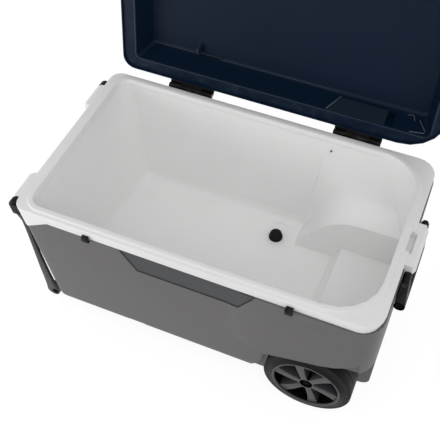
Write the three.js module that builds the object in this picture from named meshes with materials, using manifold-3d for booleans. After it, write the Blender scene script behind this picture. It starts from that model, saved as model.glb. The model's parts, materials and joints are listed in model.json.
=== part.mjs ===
// Wheeled cooler box with a hinged lid, shown open.
// Millimetres, +Z up. The origin is the middle of the tub's flat underside.
// The wheels are at the +X end, the tow handle at the -X end, the front is -Y.
import * as THREE from 'three';
import { mergeVertices } from 'three/addons/utils/BufferGeometryUtils.js';
import Module from 'manifold-3d';

const wasm = await Module();
wasm.setup();

// Fits and working values
const seatGap = 0.3;
const runningGap = 0.5;
const overrun = 6;
const roundSides = 24;
const smallSides = 16;
const wheelSides = 36;
const cornerSteps = 5;
const edgeStepCount = 4;
const mergeShare = 1e-6;
const right90 = Math.PI / 2;

// Heights above the flat underside
const footHeight = 46;
const floorLevel = 28;
const fenderLevel = 115;
const seamLevel = 297.4;
const skirtDrop = 39.4;
const collarHeight = 18.6;
const lipShelfDrop = 12;
const lipRise = 4;
const skirtLevel = seamLevel - skirtDrop;
const ledgeLevel = seamLevel + collarHeight;
const lipShelfLevel = ledgeLevel - lipShelfDrop;
const lipLevel = ledgeLevel + lipRise;

// Collar: the white ring round the mouth
const collarHalfLength = 379;
const collarHalfWidth = 222.5;
const collarSkirtEnd = 358;
const collarSeamEnd = 373;
const collarTowCorner = 27;
const collarWheelCorner = 42;
const collarSeamCorner = 38;
const collarEdgeRadius = 3;
const skirtShoulder = 350;
const skirtShoulderRise = 5;
const skirtSlopeStart = 295;

// Outer shell of the tub
const shellWall = 3;
const shellTowFoot = 320.4;
const shellTowSeam = 363.7;
const shellWheelEnd = 380;
const shellFootHalfWidth = 207;
const shellSeamHalfWidth = 222;
const shellTowCorner = 25;
const shellWheelCorner = 48;
const shellEdgeRadius = 22;
const shellFlangeWidth = 13;
const shellFlangeThickness = 6;
const smallestCorner = 1;

// Fender over the wheels
const fenderStart = 60;
const fenderFull = 165;
const fenderHalfWidth = 226;
const fenderRoot = 0.8;
const fenderSteps = 6;
const fenderEdgeStart = 179;
const fenderEdgeRise = 75;
// Lower edge of the fender: share of the way to the wheel end, share of the rise.
const fenderEdgeShares = [
  [0, -0.02],
  [0.149, 0.107],
  [0.353, 0.24],
  [0.502, 0.34],
  [0.657, 0.5],
  [0.786, 0.733],
  [0.891, 0.88],
  [1, 1],
];
const postStart = 357;
const postFoot = 130;
const postFace = 204;
const leadLength = 62;
const leadHeight = 80;
const leadFace = 196;

// Groove round the pad in the middle of the underside
const grooveStart = -200;
const grooveEnd = 150;
const grooveHalf = 95;
const grooveWidth = 6;
const grooveDepth = 1.2;

// Notch in the lower front edge
const notchStart = -155;
const notchEnd = -115;
const notchHeight = 16;
const notchDepth = 9;

// Front plate and its recess
const plateTopHalf = 148;
const plateFootHalf = 108;
const plateHeight = 60;
const plateRecess = 3.4;
const plateThickness = 2.6;
const plateBacking = 3;
const plateMargin = 6;

// Liner: the white inner tub
const linerWall = 2.5;
const mouthTow = 351;
const mouthWheel = 354;
const mouthHalfWidth = 203;
const mouthTowCorner = 27;
const mouthWheelCorner = 90;
const floorTow = 309;
const floorWheel = 345;
const floorHalfWidth = 187;
const floorTowCorner = 26;
const floorWheelCorner = 70;
const floorEdgeRadius = 24;
const lipWidth = 11;
const lipEdgeRadius = 2;
const humpFace = 122;
const humpRadius = 112;
const humpFlare = 34;
const humpSteps = 10;
const humpSweepSteps = 7;
const humpArchStart = 154;
const humpWall = 192;
const humpWallTop = 203;
const humpRise = 140;
const humpWallRiseShare = 0.54;
const shelfLevel = 67;
const shelfStart = 208;
const shelfSlope = 20;
// Hump outline where it meets the wall: share of the way from its foot to the axle, share of the height.
const humpWallShares = [
  [0.008, 0.08],
  [0.03, 0.2],
  [0.055, 0.34],
  [0.08, 0.48],
  [0.1, 0.62],
  [0.12, 0.76],
  [0.135, 0.86],
  [0.16, 0.94],
  [0.23, 0.985],
  [0.5, 1],
  [1, 1],
];
const sumpRadius = 42;
const sumpFlat = 26;
const sumpDepth = 3;

// Wheels and axle
const wheelRadius = 94;
const wheelX = 263;
const axleLevel = wheelRadius - footHeight;
const wheelOuterFace = 229;
const wheelWidth = 68.5;
const tyreDepth = 20;
const tyreShoulder = 9;
const tyreShoulderStand = 5;
const tyreCheekDrop = 10.5;
const tyreCheekSet = 6.6;
const wellClearance = 7;
const wellFace = 150;
const axleRadius = 6;
const axleCapRadius = 11;
const axleCapThickness = 6;
const hubRimWall = 6;
const hubWebSet = 30;
const hubWebThickness = 5;
const hubSpokeSet = 7;
const hubSpokeWidth = 23;
const hubSpokeCount = 5;
const hubSpokePhase = 114;
const hubSpokeSweep = 16;
const hubSpokeSteps = 4;
const hubBossRadius = 24;
const hubBossWall = 7;
const hubBossSet = 4;
const hubRecessDepth = 14;

// Feet under the tow end
const footCentreX = 262;
const footCentreY = 122;
const footLength = 84;
const footWidth = 58;
const footDraft = 6;
const footCorner = 10;

// Tow handle
const towPivotSet = 12;
const towPivotDrop = 32;
const towPivotX = -collarHalfLength - towPivotSet;
const towPivotLevel = ledgeLevel - towPivotDrop;
const towArmInner = 186.5;
const towArmWidth = 9;
const towArmBevel = 1.2;
const towArmReach = 292;
const towArmFoot = 34;
const towArmHalf = 13;
const towHeadInner = 183;
const towHeadWidth = 17;
const towHeadRadius = 15.5;
const towHeadBevel = 1.5;
const towEndRadius = 13.5;
const towSplit = 24;
const towTenon = 16;
const towTenonHalf = 4.5;
const towTenonWidth = 6;
const towBarRadius = 8.5;
const towGripRadius = 12.5;
const towGripEdge = 2;
const towPinRadius = 5;
const towPinHeadRadius = 9;
const towPinHead = 3;
const towPinSeat = 18;
// Arm spine from the pivot down: share of the reach, share of the foot's offset, share of the half width.
const towSpineShares = [
  [0.075, -0.09, 0.66],
  [0.116, 0.02, 0.46],
  [0.164, 0.17, 0.27],
  [0.25, 0.24, 0.24],
  [0.332, 0.3, 0.24],
  [0.531, 0.44, 0.27],
  [0.712, 0.61, 0.36],
  [0.82, 0.75, 0.47],
  [0.89, 0.85, 0.6],
  [0.95, 0.95, 0.84],
];

// Bosses that carry the tow handle
const towBossInner = 108;
const towBossProud = 24;
const towBossDrop = 17;
const towBossHeight = 35;
const towBossDepth = 27;
const towBossChamfer = 9;
const towBossReach = collarHalfLength + towBossProud;
const towBossTop = ledgeLevel - towBossDrop;
const towBossFoot = towBossTop - towBossHeight;
const towBossRoot = collarHalfLength - towBossDepth;

// Wheel-end boss with its slot
const liftBossProud = 22;
const liftBossDrop = 5;
const liftBossHeight = 28;
const liftBossDepth = 14.5;
const liftBossHalf = 45;
const liftBossChamfer = 7;
const liftBossReach = collarHalfLength + liftBossProud;
const liftBossTop = ledgeLevel - liftBossDrop;
const liftBossFoot = liftBossTop - liftBossHeight;
const liftBossRoot = collarHalfLength - liftBossDepth;
const slotSet = 8;
const slotWidth = 12;
const slotDepth = 10.5;
const slotHalf = 25;
const slotStart = collarHalfLength - slotSet;
const slotFloor = liftBossTop - slotDepth;

// Lift handle
const liftPivotSet = 10.5;
const liftPivotDrop = 29;
const liftBarSet = 13;
const liftReach = 77;
const liftPivotX = collarHalfLength + liftPivotSet;
const liftPivotLevel = ledgeLevel - liftPivotDrop;
const liftBarX = collarHalfLength + liftBarSet;
const liftBarLevel = liftPivotLevel - liftReach;
const liftBarRadius = 11;
const liftCoreRadius = 8;
const liftHalf = 80;
const liftEyeWidth = 25;
const liftArmWidth = 18;
const liftArmBevel = 1.5;
const liftEyeRadius = 8;
const liftBarrelRadius = 6.5;
const liftEyeInner = liftHalf - liftEyeWidth;
const liftArmInner = liftHalf - liftArmWidth;
const liftPinRadius = 3;
const liftPinHead = 2.5;
const liftPinHeadRadius = 6;
const liftPinSeat = 16;

// Lid, written as it lies when closed
const lidTow = 366;
const lidWheel = 372;
const lidFront = 226;
const lidBack = 223;
const lidTowCorner = 29;
const lidWheelCorner = 90;
const lidSet = 0.6;
const lidLevel = ledgeLevel + lidSet;
const lidHeight = 83;
const lidWall = 3;
const lidTopDraft = 4;
const lidEdgeRadius = 16;
const lidPanelMargin = 46;
const lidPanelDepth = 1.6;
const lidFlangeThickness = 2.5;
const trayTowRim = 33;
const trayWheelRim = 30;
const trayFrontRim = 30;
const trayBackRim = 31;
const trayTowDraft = 19;
const trayWheelDraft = 16;
const traySideDraft = 14;
const trayDepth = 56;
const trayTowCorner = 9;
const trayWheelCorner = 12;
const trayEdgeRadius = 7;
const pocketStart = 118;
const pocketEnd = 262;
const pocketSlant = 20;
const pocketDepth = 44;
const lidOpenAngle = 97;

// Hinges
const hingeAxisSet = 11.5;
const hingeAxisDrop = 6;
const hingeAxisY = collarHalfWidth + hingeAxisSet;
const hingeAxisLevel = ledgeLevel - hingeAxisDrop;
const hingeLength = 105;
const hingeCentres = [-192.5, 198];
const hingeKnuckleRadius = 6.5;
const hingePinRadius = 2.2;
const hingeEndKnuckle = 26;
const hingeLeafThickness = 3;
const hingeBaseLift = 1.6;
const hingeBaseRise = 1.2;
const hingeBaseFoot = seamLevel + hingeBaseLift;
const hingeBaseTop = hingeAxisLevel + hingeBaseRise;
const hingeLeafHeight = 20;
const hingeWebThickness = 5.5;

// Tie-down loops on the front
const loopCentres = [-211, 211];
const loopWidth = 15;
const loopHeight = 15.6;
const loopDepth = 8.4;
const loopBar = 3;
const loopRound = 5;
const loopLevel = 298;

// Drain
const drainX = 68;
const drainY = 127;
const drainBore = 8;
const drainPipeRadius = 11;
const drainFlangeRadius = 16.5;
const drainFlangeThickness = 4;
const drainRise = 12;
const drainCrownRadius = 13;
const drainSlotCount = 6;
const drainSlotWidth = 4;
const drainNutRadius = 18;
const drainNutThickness = 7;
const drainPipeDrop = 16;
const drainCapRadius = 15;
const drainCapDepth = 14;
const drainCapFloor = 3;
const drainCapRibs = 12;
const drainRibRadius = 1.6;

// Finishes
const finishes = {
  collar: ['#dcdcdc', 0.42, 0],
  liner: ['#e4e4e2', 0.4, 0],
  shell: ['#6e6b6f', 0.5, 0],
  foam: ['#e8dfc4', 0.95, 0],
  black: ['#151515', 0.55, 0],
  gloss: ['#101012', 0.25, 0],
  navy: ['#14202f', 0.4, 0],
  arm: ['#47464a', 0.5, 0],
  tyre: ['#35343a', 0.85, 0],
  hub: ['#4b4a4e', 0.5, 0],
  steel: ['#9a9ca0', 0.35, 0.9],
  grip: ['#1b1b1c', 0.8, 0],
};

const lerp = THREE.MathUtils.lerp;
const radians = THREE.MathUtils.degToRad;
const beyond = collarHalfLength * 2;

// A span from a near to a far distance on one side of the middle.
function reach(side, near, far) {
  return side > 0 ? [near, far] : [-far, -near];
}

// Turns a closed geometry into a solid that can be joined and cut.
function solid(geometry) {
  const bare = geometry.clone();
  bare.deleteAttribute('normal');
  bare.deleteAttribute('uv');
  const merged = mergeVertices(bare, mergeShare * beyond);
  const index = merged.index.array;
  const kept = [];
  for (let k = 0; k < index.length; k += 3) {
    const [a, b, c] = [index[k], index[k + 1], index[k + 2]];
    if (a !== b && b !== c && c !== a) kept.push(a, b, c);
  }
  const mesh = new wasm.Mesh({
    numProp: 3,
    vertProperties: Float32Array.from(merged.attributes.position.array),
    triVerts: Uint32Array.from(kept),
  });
  return new wasm.Manifold(mesh);
}

function join(solids) {
  return solids.reduce((whole, next) => whole.add(next));
}

function block(x, y, z) {
  const box = new THREE.BoxGeometry(x[1] - x[0], y[1] - y[0], z[1] - z[0]);
  box.translate((x[0] + x[1]) / 2, (y[0] + y[1]) / 2, (z[0] + z[1]) / 2);
  return solid(box);
}

// Directions that an outline's two axes and its extrusion take in the part.
const bases = {
  x: [new THREE.Vector3(0, 1, 0), new THREE.Vector3(0, 0, 1), new THREE.Vector3(1, 0, 0)],
  y: [new THREE.Vector3(1, 0, 0), new THREE.Vector3(0, 0, 1), new THREE.Vector3(0, -1, 0)],
  z: [new THREE.Vector3(1, 0, 0), new THREE.Vector3(0, 1, 0), new THREE.Vector3(0, 0, 1)],
};

// An outline carried from lo to hi along an axis: (y, z) along x, (x, z) along y, (x, y) along z.
function prism(axis, outline, lo, hi, bevel = 0) {
  const shape = new THREE.Shape(outline.map(([u, v]) => new THREE.Vector2(u, v)));
  const geometry = new THREE.ExtrudeGeometry(shape, {
    depth: hi - lo - 2 * bevel,
    bevelEnabled: bevel > 0,
    bevelThickness: bevel,
    bevelSize: bevel,
    bevelOffset: -bevel,
    bevelSegments: 1,
    curveSegments: 1,
  });
  geometry.translate(0, 0, bevel);
  geometry.applyMatrix4(new THREE.Matrix4().makeBasis(...bases[axis]));
  const shift = { x: [lo, 0, 0], y: [0, hi, 0], z: [0, 0, lo] }[axis];
  geometry.translate(...shift);
  return solid(geometry);
}

// A round bar along an axis through a point given by its other two coordinates.
function rod(axis, radius, lo, hi, [u, v], sides = roundSides) {
  const geometry = new THREE.CylinderGeometry(radius, radius, hi - lo, sides);
  const middle = (lo + hi) / 2;
  if (axis === 'x') geometry.rotateZ(right90);
  if (axis === 'z') geometry.rotateX(right90);
  const place = { x: [middle, u, v], y: [u, middle, v], z: [u, v, middle] }[axis];
  geometry.translate(...place);
  return solid(geometry);
}

// A turned solid about the Y axis through (x, z) from a profile of [radius, y] points on the axis.
function turned(profile, [x, z], sides = roundSides) {
  const points = profile.map(([radius, y]) => new THREE.Vector2(radius, y));
  const geometry = new THREE.LatheGeometry(points, sides);
  geometry.translate(x, 0, z);
  return solid(geometry);
}

// A closed skin over rings of equal point counts, lowest first, each turning left seen from above.
function loft(rings) {
  const count = rings[0].length;
  const positions = rings.flat().flatMap((point) => point.toArray());
  const triangles = [];
  for (let level = 0; level + 1 < rings.length; level += 1) {
    for (let k = 0; k < count; k += 1) {
      const next = (k + 1) % count;
      const low = level * count;
      const high = low + count;
      triangles.push(low + k, low + next, high + next, low + k, high + next, high + k);
    }
  }
  const last = (rings.length - 1) * count;
  for (let k = 1; k + 1 < count; k += 1) {
    triangles.push(0, k + 1, k);
    triangles.push(last, last + k, last + k + 1);
  }
  const geometry = new THREE.BufferGeometry();
  geometry.setAttribute('position', new THREE.Float32BufferAttribute(positions, 3));
  geometry.setIndex(triangles);
  return solid(geometry);
}

// A rectangle with rounded corners at a level, drawn in on every side by the inset.
function roundedRing(plan, level, inset = 0) {
  const { left, right, front, back, towCorner, wheelCorner } = plan;
  const corners = [
    [right - inset, front + inset, -right90, wheelCorner],
    [right - inset, back - inset, 0, wheelCorner],
    [left + inset, back - inset, right90, towCorner],
    [left + inset, front + inset, 2 * right90, towCorner],
  ];
  return corners.flatMap(([x, y, start, corner]) => {
    const radius = Math.max(corner - inset, smallestCorner);
    const centreX = x - Math.sign(x - (left + right) / 2) * radius;
    const centreY = y - Math.sign(y - (front + back) / 2) * radius;
    return Array.from({ length: cornerSteps + 1 }, (_, k) => {
      const turn = start + (k / cornerSteps) * right90;
      return new THREE.Vector3(centreX + radius * Math.cos(turn), centreY + radius * Math.sin(turn), level);
    });
  });
}

// Levels of a rounded edge that starts on a flat face, and how far each stands in from the full plan.
function roundedEdge(flat, radius, direction) {
  return Array.from({ length: edgeStepCount + 1 }, (_, k) => {
    const turn = (k / edgeStepCount) * right90;
    const level = flat + direction * radius * (1 - Math.cos(turn));
    return { level, stand: radius * (1 - Math.sin(turn)) };
  });
}

// Tub plan at a level: the tow end and both sides lean out towards the seam.
function tubPlan(level) {
  const share = level / seamLevel;
  const half = lerp(shellFootHalfWidth, shellSeamHalfWidth, share);
  return {
    left: -lerp(shellTowFoot, shellTowSeam, share),
    right: shellWheelEnd,
    front: -half,
    back: half,
    towCorner: shellTowCorner,
    wheelCorner: shellWheelCorner,
  };
}

// Half width of the fender at a place along the tub: it swells from its root within the side wall.
function fenderReach(x, level, inset) {
  const swell = THREE.MathUtils.smoothstep(x, fenderStart, fenderFull);
  return lerp(tubPlan(level).back - fenderRoot - inset, fenderHalfWidth - inset, swell);
}

// Fender plan at a level: it grows out of the side wall and runs round the wheel end.
function fenderRing(level, inset) {
  const full = fenderHalfWidth - inset;
  const corner = Math.max(shellWheelCorner - inset, smallestCorner);
  const side = [];
  for (let k = 0; k <= fenderSteps; k += 1) {
    const x = lerp(fenderStart, fenderFull, k / fenderSteps);
    side.push([x, fenderReach(x, level, inset)]);
  }
  for (let k = 0; k <= cornerSteps; k += 1) {
    const turn = right90 * (1 - k / cornerSteps);
    const x = shellWheelEnd - inset - corner + corner * Math.cos(turn);
    side.push([x, full - corner + corner * Math.sin(turn)]);
  }
  const front = side.map(([x, y]) => new THREE.Vector3(x, -y, level));
  const back = side.map(([x, y]) => new THREE.Vector3(x, y, level)).reverse();
  return [...front, ...back];
}

// Everything under the fender's lower edge, seen from the front, raised by an inset.
function underFender(inset) {
  const edge = fenderEdgeShares.map(([along, up]) => [
    lerp(fenderEdgeStart, shellWheelEnd, along),
    fenderLevel + fenderEdgeRise * up + inset,
  ]);
  const [, last] = edge[edge.length - 1];
  return [[fenderEdgeStart, -beyond], [beyond, -beyond], [beyond, last], ...edge.reverse()];
}

// Rounded lower corner of the side wall before the wheel well, seen from the front.
function wellLead(inset) {
  const right = wheelX - wheelRadius - wellClearance;
  const curve = Array.from({ length: cornerSteps + 1 }, (_, k) => {
    const turn = right90 * (1 - k / cornerSteps);
    return [right - leadLength * (1 - Math.sin(turn)) - inset, leadHeight * (1 - Math.cos(turn)) + inset];
  });
  return [
    [right - leadLength - inset, -beyond],
    [right + overrun, -beyond],
    [right + overrun, leadHeight + inset],
    ...curve,
  ];
}

// Space that a wheel runs in, at one side, grown by the inset.
function wheelWell(side, inset) {
  const radius = wheelRadius + wellClearance + inset;
  const span = (near, far) => (side > 0 ? [near - inset, far] : [-far, inset - near]);
  const skin = inset > 0 ? beyond : fenderHalfWidth - shellWall;
  const arch = rod('y', radius, ...span(wellFace, skin), [wheelX, axleLevel], wheelSides);
  const below = block([wheelX - radius, beyond], span(wellFace, beyond), [-beyond, axleLevel]);
  const end = prism('y', [
    [wheelX, -beyond],
    [beyond, -beyond],
    [beyond, postFoot + inset],
    [postStart, postFoot + inset],
    [wheelX, fenderLevel + inset],
  ], ...span(wellFace, beyond));
  const scoop = prism('y', underFender(inset), ...span(postFace, beyond))
    .intersect(block([wheelX, postStart + inset], [-beyond, beyond], [-beyond, beyond]));
  const lead = prism('y', wellLead(inset), ...span(leadFace, beyond));
  return join([arch, below, end, scoop, lead]);
}

// The tub's whole outer form, drawn in by an inset on every face.
function tubForm(inset) {
  const edge = roundedEdge(inset, Math.max(shellEdgeRadius - inset, smallestCorner), 1);
  const rings = edge.map(({ level, stand }) => roundedRing(tubPlan(level), level, inset + stand));
  rings.push(roundedRing(tubPlan(ledgeLevel), ledgeLevel, inset));
  const fender = loft([fenderLevel + inset, ledgeLevel].map((level) => fenderRing(level, inset)))
    .subtract(prism('y', underFender(inset), -beyond, beyond));
  const tunnel = rod('y', axleRadius + seatGap + inset, -beyond, beyond, [wheelX, axleLevel]);
  return join([loft(rings), fender])
    .subtract(wheelWell(1, inset))
    .subtract(wheelWell(-1, inset))
    .subtract(tunnel);
}

// Everything above the seam, which steps down round the tow end.
function aboveSeam(drop) {
  const outline = [
    [-beyond, skirtLevel - drop],
    [-collarSkirtEnd, skirtLevel - drop],
    [-skirtShoulder, skirtLevel + skirtShoulderRise - drop],
    [-skirtSlopeStart, seamLevel - drop],
    [beyond, seamLevel - drop],
    [beyond, beyond],
    [-beyond, beyond],
  ];
  return prism('y', outline, -beyond, beyond);
}

// Front plate outline, a trapezoid hanging from the seam.
function plateBlank(grow) {
  const outline = [
    [-plateFootHalf - grow, seamLevel - plateHeight - grow],
    [plateFootHalf + grow, seamLevel - plateHeight - grow],
    [plateTopHalf + grow, seamLevel + overrun],
    [-plateTopHalf - grow, seamLevel + overrun],
  ];
  return prism('y', outline, -beyond, -floorHalfWidth);
}

// Liner plan at a level between the floor and the mouth.
function linerPlan(level) {
  const share = (level - floorLevel) / (lipLevel - floorLevel);
  const half = lerp(floorHalfWidth, mouthHalfWidth, share);
  return {
    left: -lerp(floorTow, mouthTow, share),
    right: lerp(floorWheel, mouthWheel, share),
    front: -half,
    back: half,
    towCorner: lerp(floorTowCorner, mouthTowCorner, share),
    wheelCorner: lerp(floorWheelCorner, mouthWheelCorner, share),
  };
}

// Hump outline at its inner face, seen from the front: an arch about the axle with a flared foot.
function humpArch(offset) {
  const radius = humpRadius - offset;
  return Array.from({ length: humpSteps + 1 }, (_, k) => {
    const turn = lerp(radians(humpArchStart), right90, k / humpSteps);
    return [wheelX + radius * Math.cos(turn), axleLevel + radius * Math.sin(turn)];
  });
}

// Space taken by the hump over the back wheel: it sweeps up from the arch into the side wall.
function humpForm(offset) {
  const foot = floorLevel - offset;
  const left = wheelX - humpRadius - humpFlare + offset;
  const arch = humpArch(offset);
  const height = axleLevel + humpRadius + humpRise - floorLevel;
  const wall = humpWallShares.map(([along, up]) => [lerp(left, wheelX, along), foot + height * up]);
  const ring = (y, across, up) => {
    const curve = arch.map(([x, z], k) => [lerp(x, wall[k][0], across), lerp(z, wall[k][1], up)]);
    const [, top] = curve[humpSteps];
    return [
      [left - offset, foot - overrun],
      [left, foot],
      ...curve,
      [beyond, top],
      [beyond, foot - overrun],
    ].map(([x, z]) => new THREE.Vector3(x, y + offset, z));
  };
  const rings = Array.from({ length: humpSweepSteps + 1 }, (_, k) => {
    const share = k / humpSweepSteps;
    const swept = 1 - Math.sqrt(1 - share * share);
    return ring(lerp(humpFace, humpWall, share), swept, swept * humpWallRiseShare);
  });
  return loft([...rings, ring(humpWallTop, 1, 1), ring(beyond, 1, 1)]);
}

// The inner tub's form: offset 0 is its inside, the wall thickness its outside.
function linerForm(offset) {
  const edge = roundedEdge(floorLevel - offset, floorEdgeRadius + offset, 1);
  const rings = edge.map(({ level, stand }) => roundedRing(linerPlan(level), level, stand - offset));
  rings.push(roundedRing(linerPlan(lipLevel + overrun), lipLevel + overrun, -offset));
  const shelf = [
    [shelfStart + offset, floorLevel - offset - overrun],
    [shelfStart + offset, floorLevel - offset],
    [shelfStart + shelfSlope + offset, shelfLevel - offset],
    [beyond, shelfLevel - offset],
    [beyond, floorLevel - offset - overrun],
  ];
  const sumpFoot = floorLevel - sumpDepth - offset;
  const sump = turned([
    [0, sumpFoot],
    [sumpFlat + offset, sumpFoot],
    [sumpRadius + offset, floorLevel - offset],
    [sumpRadius + offset, floorLevel - offset + overrun / 2],
    [0, floorLevel - offset + overrun / 2],
  ], [0, 0]).rotate([90, 0, 0]).translate([drainX, drainY, 0]);
  const hump = humpForm(offset);
  return loft(rings)
    .add(sump)
    .subtract(hump)
    .subtract(hump.mirror([0, 1, 0]))
    .subtract(prism('y', shelf, -beyond, beyond));
}

// The raised lip round the mouth, grown sideways.
function lipForm(foot, grow) {
  const plan = {
    left: -mouthTow - lipWidth,
    right: mouthWheel + lipWidth,
    front: -mouthHalfWidth - lipWidth,
    back: mouthHalfWidth + lipWidth,
    towCorner: mouthTowCorner + lipWidth,
    wheelCorner: mouthWheelCorner + lipWidth,
  };
  const edge = roundedEdge(lipLevel, lipEdgeRadius, -1).reverse();
  const rings = edge.map(({ level, stand }) => roundedRing(plan, level, stand - grow));
  return loft([roundedRing(plan, foot, -grow), ...rings]);
}

// Bore for the drain pipe through floor, foam and bottom.
function drainHole(gap) {
  return rod('z', drainPipeRadius + gap, -overrun, floorLevel + overrun, [drainX, drainY], smallSides);
}

function makeShell() {
  const inner = tubForm(shellWall);
  const flangeBand = block(
    [-beyond, beyond],
    [-beyond, beyond],
    [seamLevel - shellFlangeThickness, ledgeLevel],
  );
  const flange = tubForm(0).subtract(tubForm(shellFlangeWidth)).intersect(flangeBand);
  const backing = plateBlank(plateMargin)
    .intersect(tubForm(0))
    .subtract(tubForm(plateRecess + plateBacking));
  const groove = block(
    [grooveStart - grooveWidth, grooveEnd + grooveWidth],
    [-grooveHalf - grooveWidth, grooveHalf + grooveWidth],
    [-overrun, grooveDepth],
  ).subtract(block([grooveStart, grooveEnd], [-grooveHalf, grooveHalf], [-beyond, beyond]));
  const notch = block(
    [notchStart, notchEnd],
    [-beyond, -tubPlan(notchHeight).back + notchDepth - shellWall],
    [-overrun, notchHeight],
  ).subtract(tubForm(notchDepth - shellWall));
  const notchWall = block(
    [notchStart - shellWall, notchEnd + shellWall],
    [-beyond, 0],
    [-overrun, notchHeight + shellWall],
  ).intersect(tubForm(0)).subtract(tubForm(notchDepth));
  return join([tubForm(0).subtract(inner), flange, backing, notchWall])
    .subtract(plateBlank(0).subtract(tubForm(plateRecess)))
    .subtract(groove)
    .subtract(notch)
    .subtract(aboveSeam(seatGap))
    .subtract(drainHole(seatGap));
}

function makeFoam() {
  const backing = plateBlank(plateMargin + seatGap)
    .subtract(tubForm(plateRecess + plateBacking + seatGap));
  const notchWall = block(
    [notchStart - shellWall - seatGap, notchEnd + shellWall + seatGap],
    [-beyond, 0],
    [-overrun, notchHeight + shellWall + seatGap],
  ).subtract(tubForm(notchDepth + seatGap));
  const above = block(
    [-beyond, beyond],
    [-beyond, beyond],
    [seamLevel - shellFlangeThickness - seatGap, beyond],
  );
  return tubForm(shellWall + seatGap)
    .subtract(linerForm(linerWall + seatGap))
    .subtract(above)
    .subtract(aboveSeam(2 * seatGap))
    .subtract(backing)
    .subtract(notchWall)
    .subtract(drainHole(seatGap));
}

function makeLiner() {
  return linerForm(linerWall)
    .intersect(block([-beyond, beyond], [-beyond, beyond], [0, lipShelfLevel + linerWall]))
    .add(lipForm(lipShelfLevel + seatGap, 0))
    .subtract(linerForm(0))
    .subtract(drainHole(seatGap));
}

// Collar plan at a level: the tow end leans out to the ledge.
function collarPlan(level) {
  const skirtShare = (level - skirtLevel) / (ledgeLevel - skirtLevel);
  const seamShare = Math.max(0, (level - seamLevel) / (ledgeLevel - seamLevel));
  return {
    left: -lerp(collarSkirtEnd, collarHalfLength, skirtShare),
    right: lerp(collarSeamEnd, collarHalfLength, seamShare),
    front: -collarHalfWidth,
    back: collarHalfWidth,
    towCorner: collarTowCorner,
    wheelCorner: lerp(collarSeamCorner, collarWheelCorner, seamShare),
  };
}

// Boss beside a tow arm, on one side, with a bore for the pivot pin.
function towBoss(side) {
  const near = side * towBossInner;
  const far = side * (towHeadInner - seatGap);
  const lean = side * towBossChamfer;
  const plan = [
    [-towBossRoot, near - lean],
    [-towBossReach, near + lean],
    [-towBossReach, far - lean / 2],
    [-towBossReach + towBossChamfer / 2, far],
    [-towBossRoot, far],
  ];
  const profile = [
    [-towBossRoot, towBossFoot],
    [-towBossReach + 2 * towBossChamfer, towBossFoot],
    [-towBossReach, towBossFoot + towBossChamfer],
    [-towBossReach, towBossTop - towBossChamfer / 2],
    [-towBossReach + towBossChamfer, towBossTop],
    [-towBossRoot, towBossTop],
  ];
  const outline = side > 0 ? [...plan].reverse() : plan;
  return prism('z', outline, 0, ledgeLevel).intersect(prism('y', profile, -beyond, beyond));
}

// Boss in the middle of the wheel end, over the lift handle.
function liftBoss() {
  const base = liftEyeInner - seatGap;
  const plan = [
    [liftBossRoot, -base],
    [liftBossReach - liftBossChamfer, -base],
    [liftBossReach, -liftBossHalf],
    [liftBossReach, liftBossHalf],
    [liftBossReach - liftBossChamfer, base],
    [liftBossRoot, base],
  ];
  const profile = [
    [shellWheelEnd + seatGap, liftBossFoot],
    [liftBossReach - liftBossChamfer, liftBossFoot],
    [liftBossReach, liftBossFoot + liftBossChamfer],
    [liftBossReach, liftBossTop - liftBossChamfer],
    [liftBossReach - liftBossChamfer, liftBossTop],
    [liftBossRoot, liftBossTop],
    [liftBossRoot, seamLevel],
    [shellWheelEnd + seatGap, seamLevel],
  ];
  const barrel = rod(
    'y',
    liftBarrelRadius,
    -base,
    base,
    [liftPivotX, liftPivotLevel],
    smallSides,
  );
  const body = prism('z', plan, 0, ledgeLevel).intersect(prism('y', profile, -beyond, beyond));
  return body.add(barrel);
}

function makeCollar() {
  const edge = roundedEdge(ledgeLevel, collarEdgeRadius, -1).reverse();
  const rings = edge.map(({ level, stand }) => roundedRing(collarPlan(level), level, stand));
  rings.unshift(roundedRing(collarPlan(seamLevel), seamLevel));
  rings.unshift(roundedRing(collarPlan(skirtLevel - overrun), skirtLevel - overrun));
  const band = loft(rings).intersect(aboveSeam(0));
  const slot = block([slotStart, slotStart + slotWidth], [-slotHalf, slotHalf], [slotFloor, ledgeLevel + overrun]);
  const towBore = (side) => rod(
    'y',
    towPinRadius + seatGap,
    ...reach(side, towHeadInner - towPinSeat - seatGap, towHeadInner + overrun),
    [towPivotX, towPivotLevel],
    smallSides,
  );
  const liftBore = (side) => rod(
    'y',
    liftPinRadius + seatGap,
    ...reach(side, liftEyeInner - liftPinSeat - seatGap, liftEyeInner + overrun),
    [liftPivotX, liftPivotLevel],
    smallSides,
  );
  return join([band, towBoss(1), towBoss(-1), liftBoss()])
    .subtract(linerForm(linerWall + seatGap))
    .subtract(lipForm(lipShelfLevel, seatGap))
    .subtract(slot)
    .subtract(towBore(1))
    .subtract(towBore(-1))
    .subtract(liftBore(1))
    .subtract(liftBore(-1));
}

function makePlate() {
  const back = tubForm(plateRecess - seatGap);
  const face = tubForm(plateRecess - seatGap - plateThickness);
  return plateBlank(-seatGap)
    .intersect(face)
    .subtract(back)
    .subtract(aboveSeam(seatGap));
}

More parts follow.
